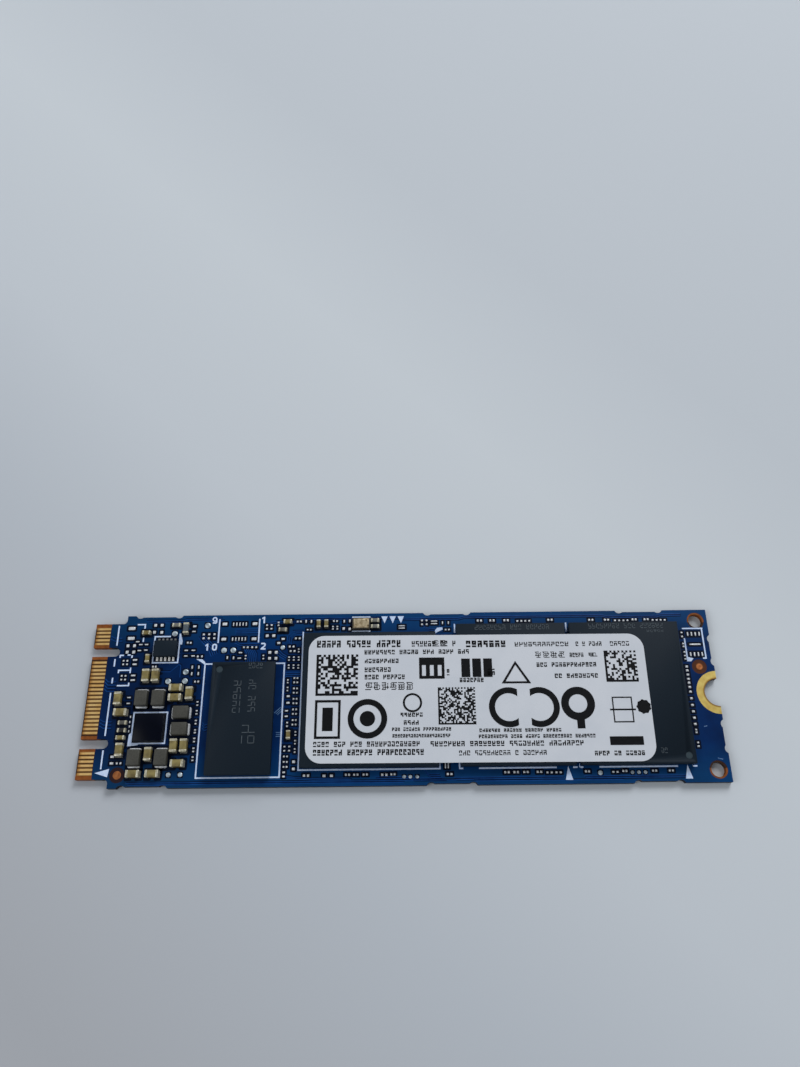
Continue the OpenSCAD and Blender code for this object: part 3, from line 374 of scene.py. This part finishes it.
def open_up(piece, test, kind="FACE"):
    """Enters edit mode with the faces or edges selected that pass a test."""
    choose(piece)
    bpy.ops.object.mode_set(mode="EDIT")
    bpy.ops.mesh.select_mode(type=kind)
    bpy.ops.mesh.select_all(action="DESELECT")
    shown = bmesh.from_edit_mesh(piece.data)
    for part in {"FACE": shown.faces, "EDGE": shown.edges}[kind]:
        part.select_set(bool(test(part)))
    bmesh.update_edit_mesh(piece.data)


def close_up():
    """Leaves edit mode."""
    bpy.ops.object.mode_set(mode="OBJECT")


def copies(name, pattern, spots):
    """One piece with a copy of the pattern's mesh at each spot, a matrix."""
    gathered = bmesh.new()
    for spot in spots:
        twin = pattern.data.copy()
        twin.transform(spot)
        gathered.from_mesh(twin)
        bpy.data.meshes.remove(twin)
    gathered.to_mesh(pattern.data)
    gathered.free()
    pattern.name = pattern.data.name = name
    return pattern


def fitted(node):
    """A spot for a shape of size 1 at each solid of a node, stretched to the solid's size."""
    return [Matrix.Translation(middle) @ Matrix.Diagonal([*size, 1])
            for middle, size in solids_of(node)]


def stood(at, size, turn=0.0):
    """A spot on the board under a solid's middle, turned about Z."""
    return Matrix.Translation(at - Vector((0, 0, size.z / 2))) @ Matrix.Rotation(turn, 4, "Z")


def settle(piece, mat, slot, *nodes):
    """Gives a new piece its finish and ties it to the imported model."""
    piece.data.materials.clear()
    piece.data.materials.append(mat)
    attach(piece, "root")
    if nodes:
        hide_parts(*nodes)


tin = two_tone("solder", 0.32, tint(240, 243, 248), tint(196, 201, 208), 4.0,
               grit=(6.0, 0.3, 0.02), metal=0.2)
crown_share, cushion_bevel = 0.66, 0.13
for area in ("connector_end", "debug_connector", "memory_side", "far_strip", "near_strip",
             "screw_end"):
    cushion = start("cube", size=1)
    open_up(cushion, lambda f: f.normal.z > 0.9)
    bpy.ops.transform.resize(value=(crown_share, crown_share, 1))
    close_up()
    bpy.ops.object.modifier_add(type="BEVEL")
    bevel = cushion.modifiers[0]
    bevel.width = cushion_bevel
    bevel.segments = 2
    bpy.ops.object.modifier_apply(modifier=bevel.name)
    bpy.ops.object.shade_smooth()
    pads = area + "_pads"
    settle(copies(area + "_solder", cushion, fitted(pads)), tin, "solder", pads)

drop = start("uv_sphere", segments=16, ring_count=8, radius=0.5)
open_up(drop, lambda f: f.calc_center_median().z < 0)
bpy.ops.mesh.delete(type="FACE")
close_up()
open_up(drop, lambda e: e.is_boundary, "EDGE")
bpy.ops.mesh.edge_face_add()
close_up()
bpy.ops.object.shade_smooth_by_angle(angle=math.radians(50))
spots = [stood(at, size) @ Matrix.Diagonal((size.x, size.y, size.z * 2, 1))
         for at, size in solids_of("test_points")]
probed = two_tone("probed_solder", 0.4, tint(206, 220, 230), tint(128, 142, 154), 2.2,
                  patches=(3.0, 0.4, 0.62), grit=(5.0, 0.4, 0.03), metal=0.3)
settle(copies("test_point_solder", drop, spots), probed, "solder", "test_points")

for chip in ("memory", "controller", "flash_1", "flash_2"):
    ball = start("uv_sphere", segments=10, ring_count=6, radius=0.5)
    bpy.ops.object.shade_smooth()
    balls = chip + "_solder_balls"
    settle(copies(chip + "_balls", ball, fitted(balls)), tin, "solder", balls)

# Copper under the lacquer. It was etched away in a margin round every pad and chip, where the
# board looks nearly black, and left as narrow tracks that stand out as low ridges. The dark
# margins round pads and parts are also painted shade, darkening the board where shade falls
# beside and between them.


def run_of(edge):
    """How far an edge runs along X, Y and Z."""
    return [abs(a - b) for a, b in zip(edge.verts[0].co, edge.verts[1].co)]


etched = two_tone("lacquer_over_laminate_and_shade", 0.4, tint(1, 15, 40), tint(1, 10, 28), 1.2, gloss=0.1)
ridge = two_tone("lacquer_over_track", 0.34, tint(16, 70, 138), tint(4, 50, 112), 0.6, gloss=0.15)
pale = two_tone("pale_lacquer_lines", 0.4, tint(96, 134, 176), tint(60, 100, 150), 2.0)
lacquer_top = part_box("solder_mask_top")[1].z
pad_margin, part_margin = 0.22, 0.34
margins = {"connector_end_pads": pad_margin, "debug_connector_pads": pad_margin,
           "memory_side_pads": pad_margin, "far_strip_pads": pad_margin,
           "near_strip_pads": pad_margin, "screw_end_pads": pad_margin, "test_points": 0.1,
           "inductor_cores": part_margin, "inductor_feet": part_margin,
           "large_capacitor_ends": part_margin, "large_capacitor_bodies": 0.1,
           "small_capacitor_ends": part_margin, "small_resistor_ends": part_margin,
           "diode_ends": part_margin, "power_chip": 0.4, "regulator_chip": 0.3,
           "regulator_leads": pad_margin, "crystal_base": part_margin}
# Etched margins and painted shade: dark sheets round pads and parts also darken the board where
# shade falls next to them.
hollow = start("cube", size=1)
open_up(hollow, lambda e: run_of(e)[2] > 0.5, "EDGE")
corner_share = 0.16
bpy.ops.mesh.bevel(offset=corner_share, segments=2, affect="EDGES")
close_up()
# Margins that cross lie at one of seven levels, so that no two share a face.
levels, lowest, level_step = 7, 0.0015, 0.0003
spots = []
for node, margin in margins.items():
    for at, size in solids_of(node):
        lift = lowest + level_step * (len(spots) % levels)
        spots.append(Matrix.Translation((at.x, at.y, lacquer_top)) @ Matrix.Diagonal(
            (size.x + 2 * margin * MM, size.y + 2 * margin * MM, 2 * lift * MM, 1)))
settle(copies("etched_and_shaded_margins", hollow, spots), etched, "solder_mask")


def ridges(name, radius, height, routes):
    """Low rounded ridges in the lacquer. A route is its points, how many lie side by side, and
    the step from one to the next, all in mm from the connector edge and the centre line."""
    bpy.ops.object.select_all(action="DESELECT")
    bpy.ops.curve.primitive_nurbs_path_add()
    drawn = bpy.context.active_object
    drawn.data.splines.clear()
    for points, count, step in routes:
        for number in range(count):
            spline = drawn.data.splines.new("POLY")
            spline.points.add(len(points) - 1)
            for point, (x, y) in zip(spline.points, points):
                point.co = ((x - half_length + number * step[0]) * MM,
                            (y + number * step[1]) * MM, 0, 1)
    drawn.data.bevel_depth = radius * MM
    drawn.data.bevel_resolution = 1
    drawn.data.use_fill_caps = True
    bpy.ops.object.convert(target="MESH")
    made = bpy.context.active_object
    made.matrix_world = Matrix.Identity(4)
    made.data.transform(Matrix.Translation((0, 0, lacquer_top))
                        @ Matrix.Diagonal((1, 1, height / radius, 1)))
    bpy.ops.object.shade_smooth_by_angle(angle=math.radians(60))
    made.name = made.data.name = name
    return made


def beside(route, shift):
    """A route moved aside, for the clearance that was etched along its tracks."""
    points, count, step = route
    rise = -shift if abs(step[1]) > abs(step[0]) else shift
    return [(x + shift, y + rise) for x, y in points], count, step


bundles = [
    ([(13.5, 8.0), (14.2, 7.2), (14.9, 6.5), (15.4, 5.4)], 4, (0.24, 0.12)),
    ([(25.2, 7.4), (25.2, 8.1), (25.8, 8.7), (27.1, 8.7)], 3, (0.24, -0.24)),
    ([(25.1, 3.15), (27.1, 3.15)], 3, (0, -0.24)),
    ([(19.6, 6.4), (19.9, 5.9), (19.9, 4.6)], 6, (0.26, -0.04)),
    ([(18.3, 7.2), (18.9, 6.85), (21.4, 6.85)], 2, (0.12, 0.24)),
    ([(18.3, 9.05), (21.3, 9.05)], 3, (0, -0.26)),
    ([(23.6, 5.9), (24.2, 5.3), (24.9, 4.9)], 3, (0.22, 0.16)),
    ([(22.4, 9.9), (23.6, 10.05), (26.6, 10.05)], 2, (0, -0.22)),
    ([(42.8, 9.3), (43.5, 8.85), (45.2, 8.7)], 2, (0.1, -0.24)),
    ([(25.4, -9.7), (26.6, -9.9), (28.6, -10.05), (33.4, -10.05)], 2, (0.3, -0.2)),
    ([(36.6, -9.95), (40.4, -9.95), (41.2, -10.15), (45.0, -10.15)], 2, (0.2, -0.22)),
    ([(42.6, -9.2), (43.2, -9.65), (44.4, -9.65)], 3, (0.12, -0.22)),
    ([(46.2, -10.1), (59.5, -10.1)], 2, (0.2, -0.22)),
    ([(62.0, -10.1), (75.0, -10.1)], 2, (0.2, -0.22)),
    ([(2.1, 2.6), (2.5, 2.2), (3.5, 2.2)], 4, (0, -0.42)),
    ([(2.1, -2.6), (2.6, -2.9), (3.6, -2.9)], 3, (0, -0.4)),
    ([(2.1, 8.3), (2.6, 8.0), (3.6, 8.0)], 2, (0, -0.4)),
    ([(9.1, 3.45), (10.3, 3.45), (11.35, 4.4), (11.6, 4.2), (11.6, 2.7)], 1, (0, 0)),
    ([(15.0, -3.1), (15.3, -3.45), (15.6, -3.3)], 3, (0, -0.34)),
    ([(6.4, 10.3), (11.3, 10.3), (11.7, 10.5), (16.4, 10.5)], 2, (0.3, -0.26)),
    ([(26.8, 10.5), (39.6, 10.5), (40.2, 10.3), (47.4, 10.3), (48.2, 10.5), (66.2, 10.5),
      (67.0, 10.3), (73.4, 10.3), (74.0, 10.5), (76.6, 10.5)], 2, (0, -0.22)),
    ([(6.2, -10.4), (39.8, -10.4)], 2, (0.3, -0.22)),
    ([(39.8, -10.4), (48.6, -10.4)], 1, (0, 0)),
    ([(48.8, -10.56), (66.8, -10.56)], 1, (0, 0)),
    ([(75.6, 1.6), (75.6, -7.6), (75.2, -8.2)], 1, (0, 0))]
# Short pale lines in the lacquer.
pale_bundles = [
    ([(23.95, -2.0), (24.7, -1.3)], 3, (0.2, -0.12)),
    ([(24.25, -4.45), (24.8, -4.45)], 3, (0, -0.24)),
    ([(77.5, -4.3), (77.9, -4.2)], 1, (0, 0)),
    ([(78.6, -8.15), (79.2, -8.3)], 1, (0, 0))]
track_to_clearance = 0.12
clearances = [beside(route, track_to_clearance) for route in bundles]
settle(ridges("lacquered_tracks", 0.055, 0.005, bundles), ridge, "solder_mask")
settle(ridges("track_clearances", 0.05, 0.0035, clearances), etched, "solder_mask")
settle(ridges("pale_lines", 0.045, 0.006, pale_bundles), pale, "solder_mask")

# Chip packages. Black epoxy moulded round the silicon on a thin substrate, matt with a fine
# grain and slightly rounded edges, and soldered by balls. A shallow round mark shows pin 1.


def block(size, foot=(0, 0, 0)):
    """A box of a size in mm that stands with the middle of its underside at a place."""
    made = start("cube", size=1)
    wide, deep, high = size
    x, y, z = foot
    made.data.transform(Matrix.Translation((x * MM, y * MM, (z + high / 2) * MM))
                        @ Matrix.Diagonal((wide * MM, deep * MM, high * MM, 1)))
    return made


def rounded(piece, width, segments=2):
    """Rounds every sharp edge and shades the piece smooth."""
    choose(piece)
    bevel = piece.modifiers.new("rounding", "BEVEL")
    bevel.width = width * MM
    bevel.segments = segments
    bevel.limit_method = "ANGLE"
    bevel.angle_limit = math.radians(35)
    bpy.ops.object.modifier_apply(modifier=bevel.name)
    bpy.ops.object.shade_smooth_by_angle(angle=math.radians(50))
    return piece


def moulded(node, name, width):
    """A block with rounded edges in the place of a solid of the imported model."""
    middle, size = solids_of(node)[0]
    made = rounded(block(size / MM, (middle - Vector((0, 0, size.z / 2))) / MM), width)
    made.name = made.data.name = name
    return made


package_top, mark_d, mark_depth = 1.9, 0.85, 0.05
pin_marks = {}
for node, along, across in (("working_memory", -3.05, 6.05), ("flash_package_2", 6.1, -8.05)):
    middle = solids_of(node)[0][0] / MM
    pin_marks[node] = Vector((middle.x + along, middle.y + across, package_top))
mould, tree, shader = finish_of("moulded_epoxy", 0.62, gloss=0.2)
colour = tone(tree, tint(6, 22, 35), tint(13, 30, 43), 9.0, 4.0)
for mark in pin_marks.values():
    inside = calc(tree, "LESS_THAN", distance(tree, place_in_mm(tree), mark), mark_d / 2)
    colour = blend_colours(tree, inside, colour, tint(52, 66, 74))
paint(tree, shader, colour)
relief(tree, shader, 14.0, 0.35, 0.02)

for node in ("working_memory", "controller", "flash_package_1", "flash_package_2"):
    body = moulded(node, node + "_moulding", 0.05)
    if node in pin_marks:
        drill = start("cylinder", vertices=32, radius=mark_d / 2 * MM, depth=2 * mark_depth * MM,
                      location=pin_marks[node] * MM)
        cut = body.modifiers.new("pin_mark", "BOOLEAN")
        cut.object = drill
        choose(body)
        bpy.ops.object.modifier_apply(modifier=cut.name)
        bpy.data.objects.remove(drill)
    settle(body, mould, "package", node)

# Laser marks. The maker's codes were burnt into the epoxy in thin grey strokes. Here they are
# made-up signs that spell nothing, in rows of the same height and length.
signs = ("abcde", "abceg", "abdef", "abdfg", "acdeg", "bdefg", "abeg", "bdfg", "aceg", "acfg",
         "bceg", "befg", "abdf", "acde")
draws = random.Random(7)


def sign_strokes(kind, wide, high, thick):
    """The strokes of one sign, as boxes left, low, wide and high. Its name gives them: a, g and d
    are bars at the top, middle and foot, and b, c, e and f are half stems."""
    strokes = {"a": (0, high - thick, wide, thick), "g": (0, (high - thick) / 2, wide, thick),
               "d": (0, 0, wide, thick), "f": (0, high / 2, thick, high / 2),
               "e": (0, 0, thick, high / 2), "b": (wide - thick, high / 2, thick, high / 2),
               "c": (wide - thick, 0, thick, high / 2)}
    return [strokes[key] for key in kind]


def row_of_signs(left, low, length, high, thick, words):
    """A row of made-up words that fills a length. Words is how many signs each one has."""
    sign_share, thick_share, last_space = 0.74, 0.3, 0.3
    step = length / (sum(words) + len(words) - last_space)
    boxes, at = [], left
    for word in words:
        for number in range(word):
            kind = signs[draws.randrange(len(signs))]
            for x, y, wide, tall in sign_strokes(kind, step * sign_share, high,
                                                 min(thick, step * thick_share)):
                boxes.append((at + x, low + y, wide, tall))
            at += step
        at += step
    return boxes


def printed(name, boxes, ground, thick):
    """A layer of ink: one flat stroke for each box, on a ground that is a matrix in metres."""
    stroke = block((1, 1, 1))
    spots = [ground @ Matrix.Translation(((x + wide / 2) * MM, (y + tall / 2) * MM, 0))
             @ Matrix.Diagonal((wide, tall, thick, 1)) for x, y, wide, tall in boxes]
    return copies(name, stroke, spots)


def ground_at(x, y, z, turn):
    """A drawing plane with its corner at a place in mm, turned about Z by some degrees."""
    return (Matrix.Translation(((x - half_length) * MM, y * MM, z * MM))
            @ Matrix.Rotation(math.radians(turn), 4, "Z"))


def joined(pieces):
    """Joins pieces into the first one."""
    choose(*pieces)
    bpy.ops.object.join()
    return pieces[0]


marks = two_tone("laser_marks", 0.7, tint(84, 93, 100), tint(62, 71, 79), 3.0, gloss=0.2)
burn_t = 0.004
rows = (
    ((59.1, 8.9, 180), [(0, 0, 10.1, 0.66, 0.08, (6, 3, 8))]),
    ((73.8, 8.9, 180), [(0, 0, 10.1, 0.66, 0.08, (6, 3, 8)), (0, 0.9, 2.6, 0.3, 0.06, (5,))]),
    ((72.25, -7.0, 180), [(0, 0, 1.15, 0.66, 0.08, (2,))]),
    ((22.3, 4.2, 180), [(0, 0, 2.2, 0.72, 0.08, (4,))]),
    ((18.8, 1.9, -90), [(0, 0, 4.9, 0.95, 0.09, (5,)), (-0.1, 1.9, 4.7, 0.95, 0.09, (2, 3)),
                        (5.6, 1.4, 3.5, 1.6, 0.09, (2,))]))
burnt = []
for (x, y, turn), lines in rows:
    boxes = [box for row in lines for box in row_of_signs(*row)]
    burnt.append(printed("marks", boxes, ground_at(x, y, package_top, turn), burn_t))
burnt = joined(burnt)
burnt.name = burnt.data.name = "burnt_marks"
settle(burnt, marks, "laser_mark", "package_marks")

# Power chip. A bare silicon die with a smooth, nearly black face. It is soldered by its whole
# underside, and only a rim of the solder shows, coloured dark as a painted shade under the die.
silicon = two_tone("silicon_face", 0.3, tint(3, 6, 18), tint(4, 8, 22), 1.0, gloss=0.12)
settle(moulded("power_chip", "power_die", 0.03), silicon, "power_chip_face", "power_chip")
# Painted shade: the solder rim under the die is coloured dark.
under = two_tone("shaded_solder", 0.5, tint(60, 62, 66), tint(30, 32, 38), 3.0, metal=0.3)
dress(under, "power_chip_solder")

# Regulator. A small moulded package on ten leads, each bent down from its side to a flat foot.
# The solder on the near feet carries a painted light and that on the far feet a painted shade:
# lit and shaded copies of one solder.
settle(moulded("regulator_chip", "regulator_moulding", 0.07), mould, "package", "regulator_chip")
lead_w, lead_l, lead_t = 0.28, 0.75, 0.12
foot_l, riser_h, lead_lean = 0.42, 0.34, 0.12
foot = block((lead_w, foot_l, lead_t), (0, lead_l / 2 - foot_l / 2, 0))
riser = block((lead_w, lead_t, riser_h), (0, lead_l / 2 - foot_l, 0))
open_up(riser, lambda f: f.normal.z > 0.9)
bpy.ops.transform.translate(value=(0, -lead_lean * MM, 0))
close_up()
lead = rounded(joined([foot, riser]), 0.03, 1)
middle_y = solids_of("regulator_chip")[0][0].y
leads = solids_of("regulator_leads")
far_spots = [stood(at, size) for at, size in leads if at.y > middle_y]
near_spots = [stood(at, size, math.pi) for at, size in leads if at.y <= middle_y]
# Painted shade on the far feet and painted light on the near feet.
shaded_tin = two_tone("far_painted_shade_solder", 0.5, tint(118, 121, 122), tint(84, 86, 88), 3.0, metal=0.2)
lit_tin = two_tone("near_painted_light_solder", 0.25, tint(255, 255, 254), tint(236, 236, 232), 3.0)
choose(lead)
bpy.ops.object.duplicate()
far_lead = bpy.context.active_object
settle(copies("regulator_far_legs", far_lead, far_spots), shaded_tin, "solder")
settle(copies("regulator_near_legs", lead, near_spots), lit_tin, "solder", "regulator_leads")

# Inductors. Pressed grey ferrite blocks with rounded edges, held by a bright crescent of solder
# at either end.


def outward(at, middles):
    """The turn about Z that points +Y away from the nearest of the middles. It is a whole
    quarter turn unless the way there is clearly slanted."""
    away = at - min(middles, key=lambda m: (m - at).length)
    turn, quarter = math.atan2(away.y, away.x) - math.pi / 2, math.pi / 2
    slanted = max(abs(away.x), abs(away.y)) < 9 * min(abs(away.x), abs(away.y))
    return turn if slanted else round(turn / quarter) * quarter


ferrite = two_tone("ferrite", 0.55, tint(67, 67, 61), tint(54, 54, 49), 7.0,
                   grit=(12.0, 0.3, 0.02))
core_size, core_edge = (1.55, 1.95, 0.98), 0.13
cores = solids_of("inductor_cores")
spots = [stood(at, size, 0 if size.y > size.x else math.pi / 2) for at, size in cores]
settle(copies("inductor_blocks", rounded(block(core_size), core_edge, 3), spots), ferrite,
       "ferrite", "inductor_cores")
crescent_size, crescent_r, crescent_crown = (1.5, 0.26, 0.34), 0.22, (0.93, 0.6, 1)
bar = block(crescent_size)
open_up(bar, lambda e: max(run_of(e)[:2]) < 1e-6 and e.verts[0].co.y > 0, "EDGE")
bpy.ops.mesh.bevel(offset=crescent_r * MM, segments=4, affect="EDGES")
close_up()
open_up(bar, lambda f: f.normal.z > 0.9)
bpy.ops.transform.resize(value=crescent_crown)
close_up()
rounded(bar, 0.04)
middles = [at for at, size in cores]
spots = [stood(at, size, outward(at, middles)) for at, size in solids_of("inductor_feet")]
settle(copies("inductor_solder", bar, spots), tin, "solder", "inductor_feet")

# Capacitors, resistors and the diode. Fired ceramic blocks, dipped at both ends into metal and
# tinned, then soldered: a hollow wedge of solder climbs each end from its pad.
ceramic = two_tone("capacitor_ceramic", 0.45, tint(144, 131, 80), tint(100, 87, 50), 1.2,
                   grit=(9.0, 0.25, 0.02))
terminal = two_tone("tinned_terminal", 0.36, tint(232, 228, 208), tint(182, 176, 150), 3.0,
                    grit=(7.0, 0.3, 0.02), metal=0.65)
film = two_tone("resistor_coat", 0.45, tint(34, 33, 34), tint(112, 111, 106), 0.35,
                patches=(0.0, 0.42, 0.56))
slate = two_tone("diode_case", 0.5, tint(84, 94, 102), tint(64, 74, 84), 4.0)


def dipped_end(wide, deep, high, creep):
    """An end terminal with its wedge of solder, pointing along +Y. The solder creeps so far over
    the pad, climbs part of the end and sags between the two."""
    cap_edge, wedge_w, climb = min(0.06, deep * 0.28), wide * 0.96, high * 0.55
    lap, toe, least, sag_y, sag_z = 0.02, 0.02, 0.01, creep * 0.15, high * 0.1
    cap = rounded(block((wide, deep, high)), cap_edge, 3)
    middle_y = deep / 2 + creep / 2
    wedge = block((wedge_w, creep, climb), (0, middle_y - lap, 0))
    open_up(wedge, lambda e: all(v.co.z > least * MM and v.co.y > middle_y * MM
                                 for v in e.verts), "EDGE")
    bpy.ops.transform.translate(value=(0, 0, (toe - climb) * MM))
    close_up()
    open_up(wedge, lambda e: run_of(e)[2] > high * 0.3 * MM and run_of(e)[1] > least * MM, "EDGE")
    bpy.ops.mesh.subdivide(number_cuts=1)
    bpy.ops.mesh.select_mode(type="VERT")
    # The points halfway up the slope.
    shown = bmesh.from_edit_mesh(wedge.data)
    for vert in shown.verts:
        vert.select_set(0.05 < vert.co.z / MM < high * 0.5
                        and deep / 2 < vert.co.y / MM < deep / 2 + creep - 0.03)
    bmesh.update_edit_mesh(wedge.data)
    bpy.ops.transform.translate(value=(0, -sag_y * MM, -sag_z * MM))
    close_up()
    bpy.ops.object.shade_smooth_by_angle(angle=math.radians(60))
    return joined([cap, wedge])


body_step, body_edge = 0.02, 0.025
for group, coat, coat_slot, size, deep, creep in (
        ("large_capacitor", ceramic, "capacitor_ceramic", (0.88, 1.62, 0.80), 0.30, 0.09),
        ("small_capacitor", ceramic, "capacitor_ceramic", (0.52, 1.05, 0.50), 0.22, 0.07),
        ("small_resistor", film, "resistor_body", (0.52, 1.05, 0.35), 0.22, 0.07),
        ("diode", slate, "diode_body", (0.70, 1.45, 0.60), 0.28, 0.08)):
    wide, long, high = size
    bodies = group + ("_body" if group == "diode" else "_bodies")
    places = solids_of(bodies)
    ends = solids_of(group + "_ends")
    fired = rounded(block((wide - 2 * body_step, long - 2 * deep + 2 * body_step,
                           high - 2 * body_step)), body_edge)
    spots = []
    for at, box in places:
        end = min((e[0] for e in ends), key=lambda p: (p - at).length)
        upright = abs(end.y - at.y) > abs(end.x - at.x)
        spots.append(stood(at, box, 0 if upright else math.pi / 2))
    settle(copies(group + "_blocks", fired, spots), coat, coat_slot, bodies)
    middles = [at for at, box in places]
    spots = [stood(at, box, outward(at, middles)) for at, box in ends]
    settle(copies(group + "_terminals", dipped_end(wide, deep, high, creep), spots),
           terminal, "terminal", group + "_ends")

# Crystal. A slice of quartz sealed in a ceramic tray, which is soldered down by its underside.
# The tray is closed by a welded, gold-toned lid with a raised rim.
tray = two_tone("ceramic_tray", 0.55, tint(66, 58, 44), tint(46, 42, 34), 4.0)
settle(moulded("crystal_base", "crystal_tray", 0.05), tray, "crystal_base", "crystal_base")
gilt = two_tone("gold_toned_lid", 0.38, tint(204, 188, 156), tint(124, 102, 68), 3.0,
                patches=(4.0, 0.42, 0.72), metal=0.5)
rim_w, dish_depth, least_area = 0.2, 0.03, 0.1
lid = moulded("crystal_lid", "crystal_cover", 0.03)
open_up(lid, lambda f: f.normal.z > 0.99 and f.calc_area() > least_area * MM * MM)
bpy.ops.mesh.inset(thickness=rim_w * MM)
bpy.ops.transform.translate(value=(0, 0, -dish_depth * MM))
close_up()
settle(lid, gilt, "crystal_lid", "crystal_lid")

# Label. Coated paper stuck over three packages, slightly askew, with all its print in black. The
# words are rows of the same made-up signs, and the square codes are random cells.
sheet = two_tone("label_sheet", 0.5, tint(209, 214, 223), tint(202, 208, 218), 0.3, gloss=0.3)
toner = two_tone("label_ink", 0.6, tint(3, 5, 9), tint(12, 14, 19), 3.0, gloss=0.15)
dress(sheet, "label")
dress(toner, "label_symbols", "label_ink_dot")

low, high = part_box("label")
sheet_w, sheet_d, askew, toner_t = 42.85, 16.1, -0.2, 0.02
label_ground = (Matrix.Translation(((low.x + high.x) / 2, (low.y + high.y) / 2, high.z))
                @ Matrix.Rotation(math.radians(askew), 4, "Z")
                @ Matrix.Translation((-sheet_w / 2 * MM, -sheet_d / 2 * MM, 0)))
fine, light, heavy, block_type = 0.105, 0.13, 0.19, 0.24
# Each row is left, low, length, height and stroke in mm, and the number of signs in each word.
text = (
    (1.05, 14.55, 11.3, 0.92, block_type, (5, 5, 5)), (13.2, 14.6, 6.1, 0.72, light, (6, 2, 1)),
    (20.15, 14.45, 5.75, 0.86, block_type, (7,)), (26.4, 14.5, 7.4, 0.58, fine, (12,)),
    (34.2, 14.5, 3.7, 0.58, fine, (1, 1, 4)), (38.6, 14.5, 2.9, 0.58, fine, (5,)),
    (7.15, 13.6, 13.8, 0.58, light, (8, 5, 3, 4, 3)), (7.2, 12.45, 4.75, 0.56, light, (9,)),
    (7.2, 11.3, 3.75, 0.6, light, (7,)), (7.2, 10.35, 5.5, 0.6, light, (4, 6)),
    (33.3, 13.05, 2.1, 0.56, light, (5,)), (29.0, 11.8, 8.0, 0.56, light, (3, 12)),
    (31.2, 10.35, 5.9, 0.56, light, (2, 8)), (19.2, 9.9, 3.4, 0.56, light, (7,)),
    (11.7, 5.6, 3.2, 0.5, light, (6,)), (12.1, 4.6, 2.3, 0.55, light, (4,)),
    (10.65, 3.85, 7.6, 0.42, fine, (3, 6, 10)), (10.7, 3.05, 7.4, 0.42, fine, (22,)),
    (21.4, 3.65, 10.4, 0.42, fine, (7, 6, 6, 5)), (21.3, 2.9, 14.6, 0.44, fine, (10, 4, 5, 10, 7)),
    (1.0, 1.98, 13.5, 0.62, light, (4, 3, 3, 13)), (15.35, 1.95, 19.2, 0.62, light, (8, 8, 8, 8)),
    (1.0, 0.95, 14.0, 0.7, heavy, (7, 6, 11)), (18.8, 0.85, 11.1, 0.58, fine, (3, 9, 1, 6)),
    (35.3, 0.72, 6.5, 0.56, light, (4, 2, 5)), (17.6, 10.8, 0.7, 0.8, block_type, (1,)),
    (22.75, 10.8, 1.4, 0.8, block_type, (2,)))
strokes = [box for row in text for box in row_of_signs(*row)]


def dense_sign(left, low, wide, high, thick):
    """A square sign of many strokes: three stems between four bars, with some of them left out."""
    bars = [low + number * (high - thick) / 3 for number in range(4)]
    boxes = []
    for bar in bars:
        inset = draws.choice((0, 0.2))
        length = draws.choice((0.8, 1.0)) - 0.2
        boxes.append((left + wide * inset, bar, wide * length, thick))
    for stem in (0.1, 0.44, 0.78):
        first, last = draws.choice(((0, 3), (0, 2), (1, 3)))
        for gap in range(first, last):
            boxes.append((left + wide * stem, bars[gap] + thick, thick,
                          bars[gap + 1] - bars[gap] - thick))
    return boxes


for left, foot, length, tall, count, thick in (
        (7.3, 9.0, 6.2, 0.95, 6, 0.1), (28.9, 13.0, 3.9, 0.78, 4, 0.08),
        (15.9, 14.6, 1.9, 0.8, 2, 0.08), (35.7, 13.1, 1.3, 0.5, 1, 0.08)):
    step = length / count
    for number in range(count):
        strokes += dense_sign(left + number * step, foot, step * 0.86, tall, thick)
settle(printed("label_words", strokes, label_ground, toner_t), toner, "label_ink", "label_print")


def square_code(left, low, side, cells):
    """A square code with a solid edge on two sides and a dotted one on the others. Dark cells
    that touch in a row are one box."""
    cell, last = side / cells, cells - 1
    boxes = []
    for row in range(cells):
        dark = []
        for column in range(cells):
            if row == 0 or column == 0:
                dark.append(True)
            elif row == last or column == last:
                dark.append((column + row) % 2 == 0)
            else:
                dark.append(draws.random() < 0.5)
        dark.append(False)
        column = 0
        while column < cells:
            if dark[column]:
                end = dark.index(False, column)
                boxes.append((left + column * cell, low + row * cell, (end - column) * cell, cell))
                column = end
            column += 1
    return boxes


codes = []
for left, foot, side, cells in ((1.05, 8.3, 5.3, 18), (16.4, 4.6, 4.65, 24),
                                (37.65, 9.8, 4.05, 16)):
    codes += square_code(left, foot, side, cells)
settle(printed("label_squares", codes, label_ground, toner_t), toner, "label_ink", "label_codes")
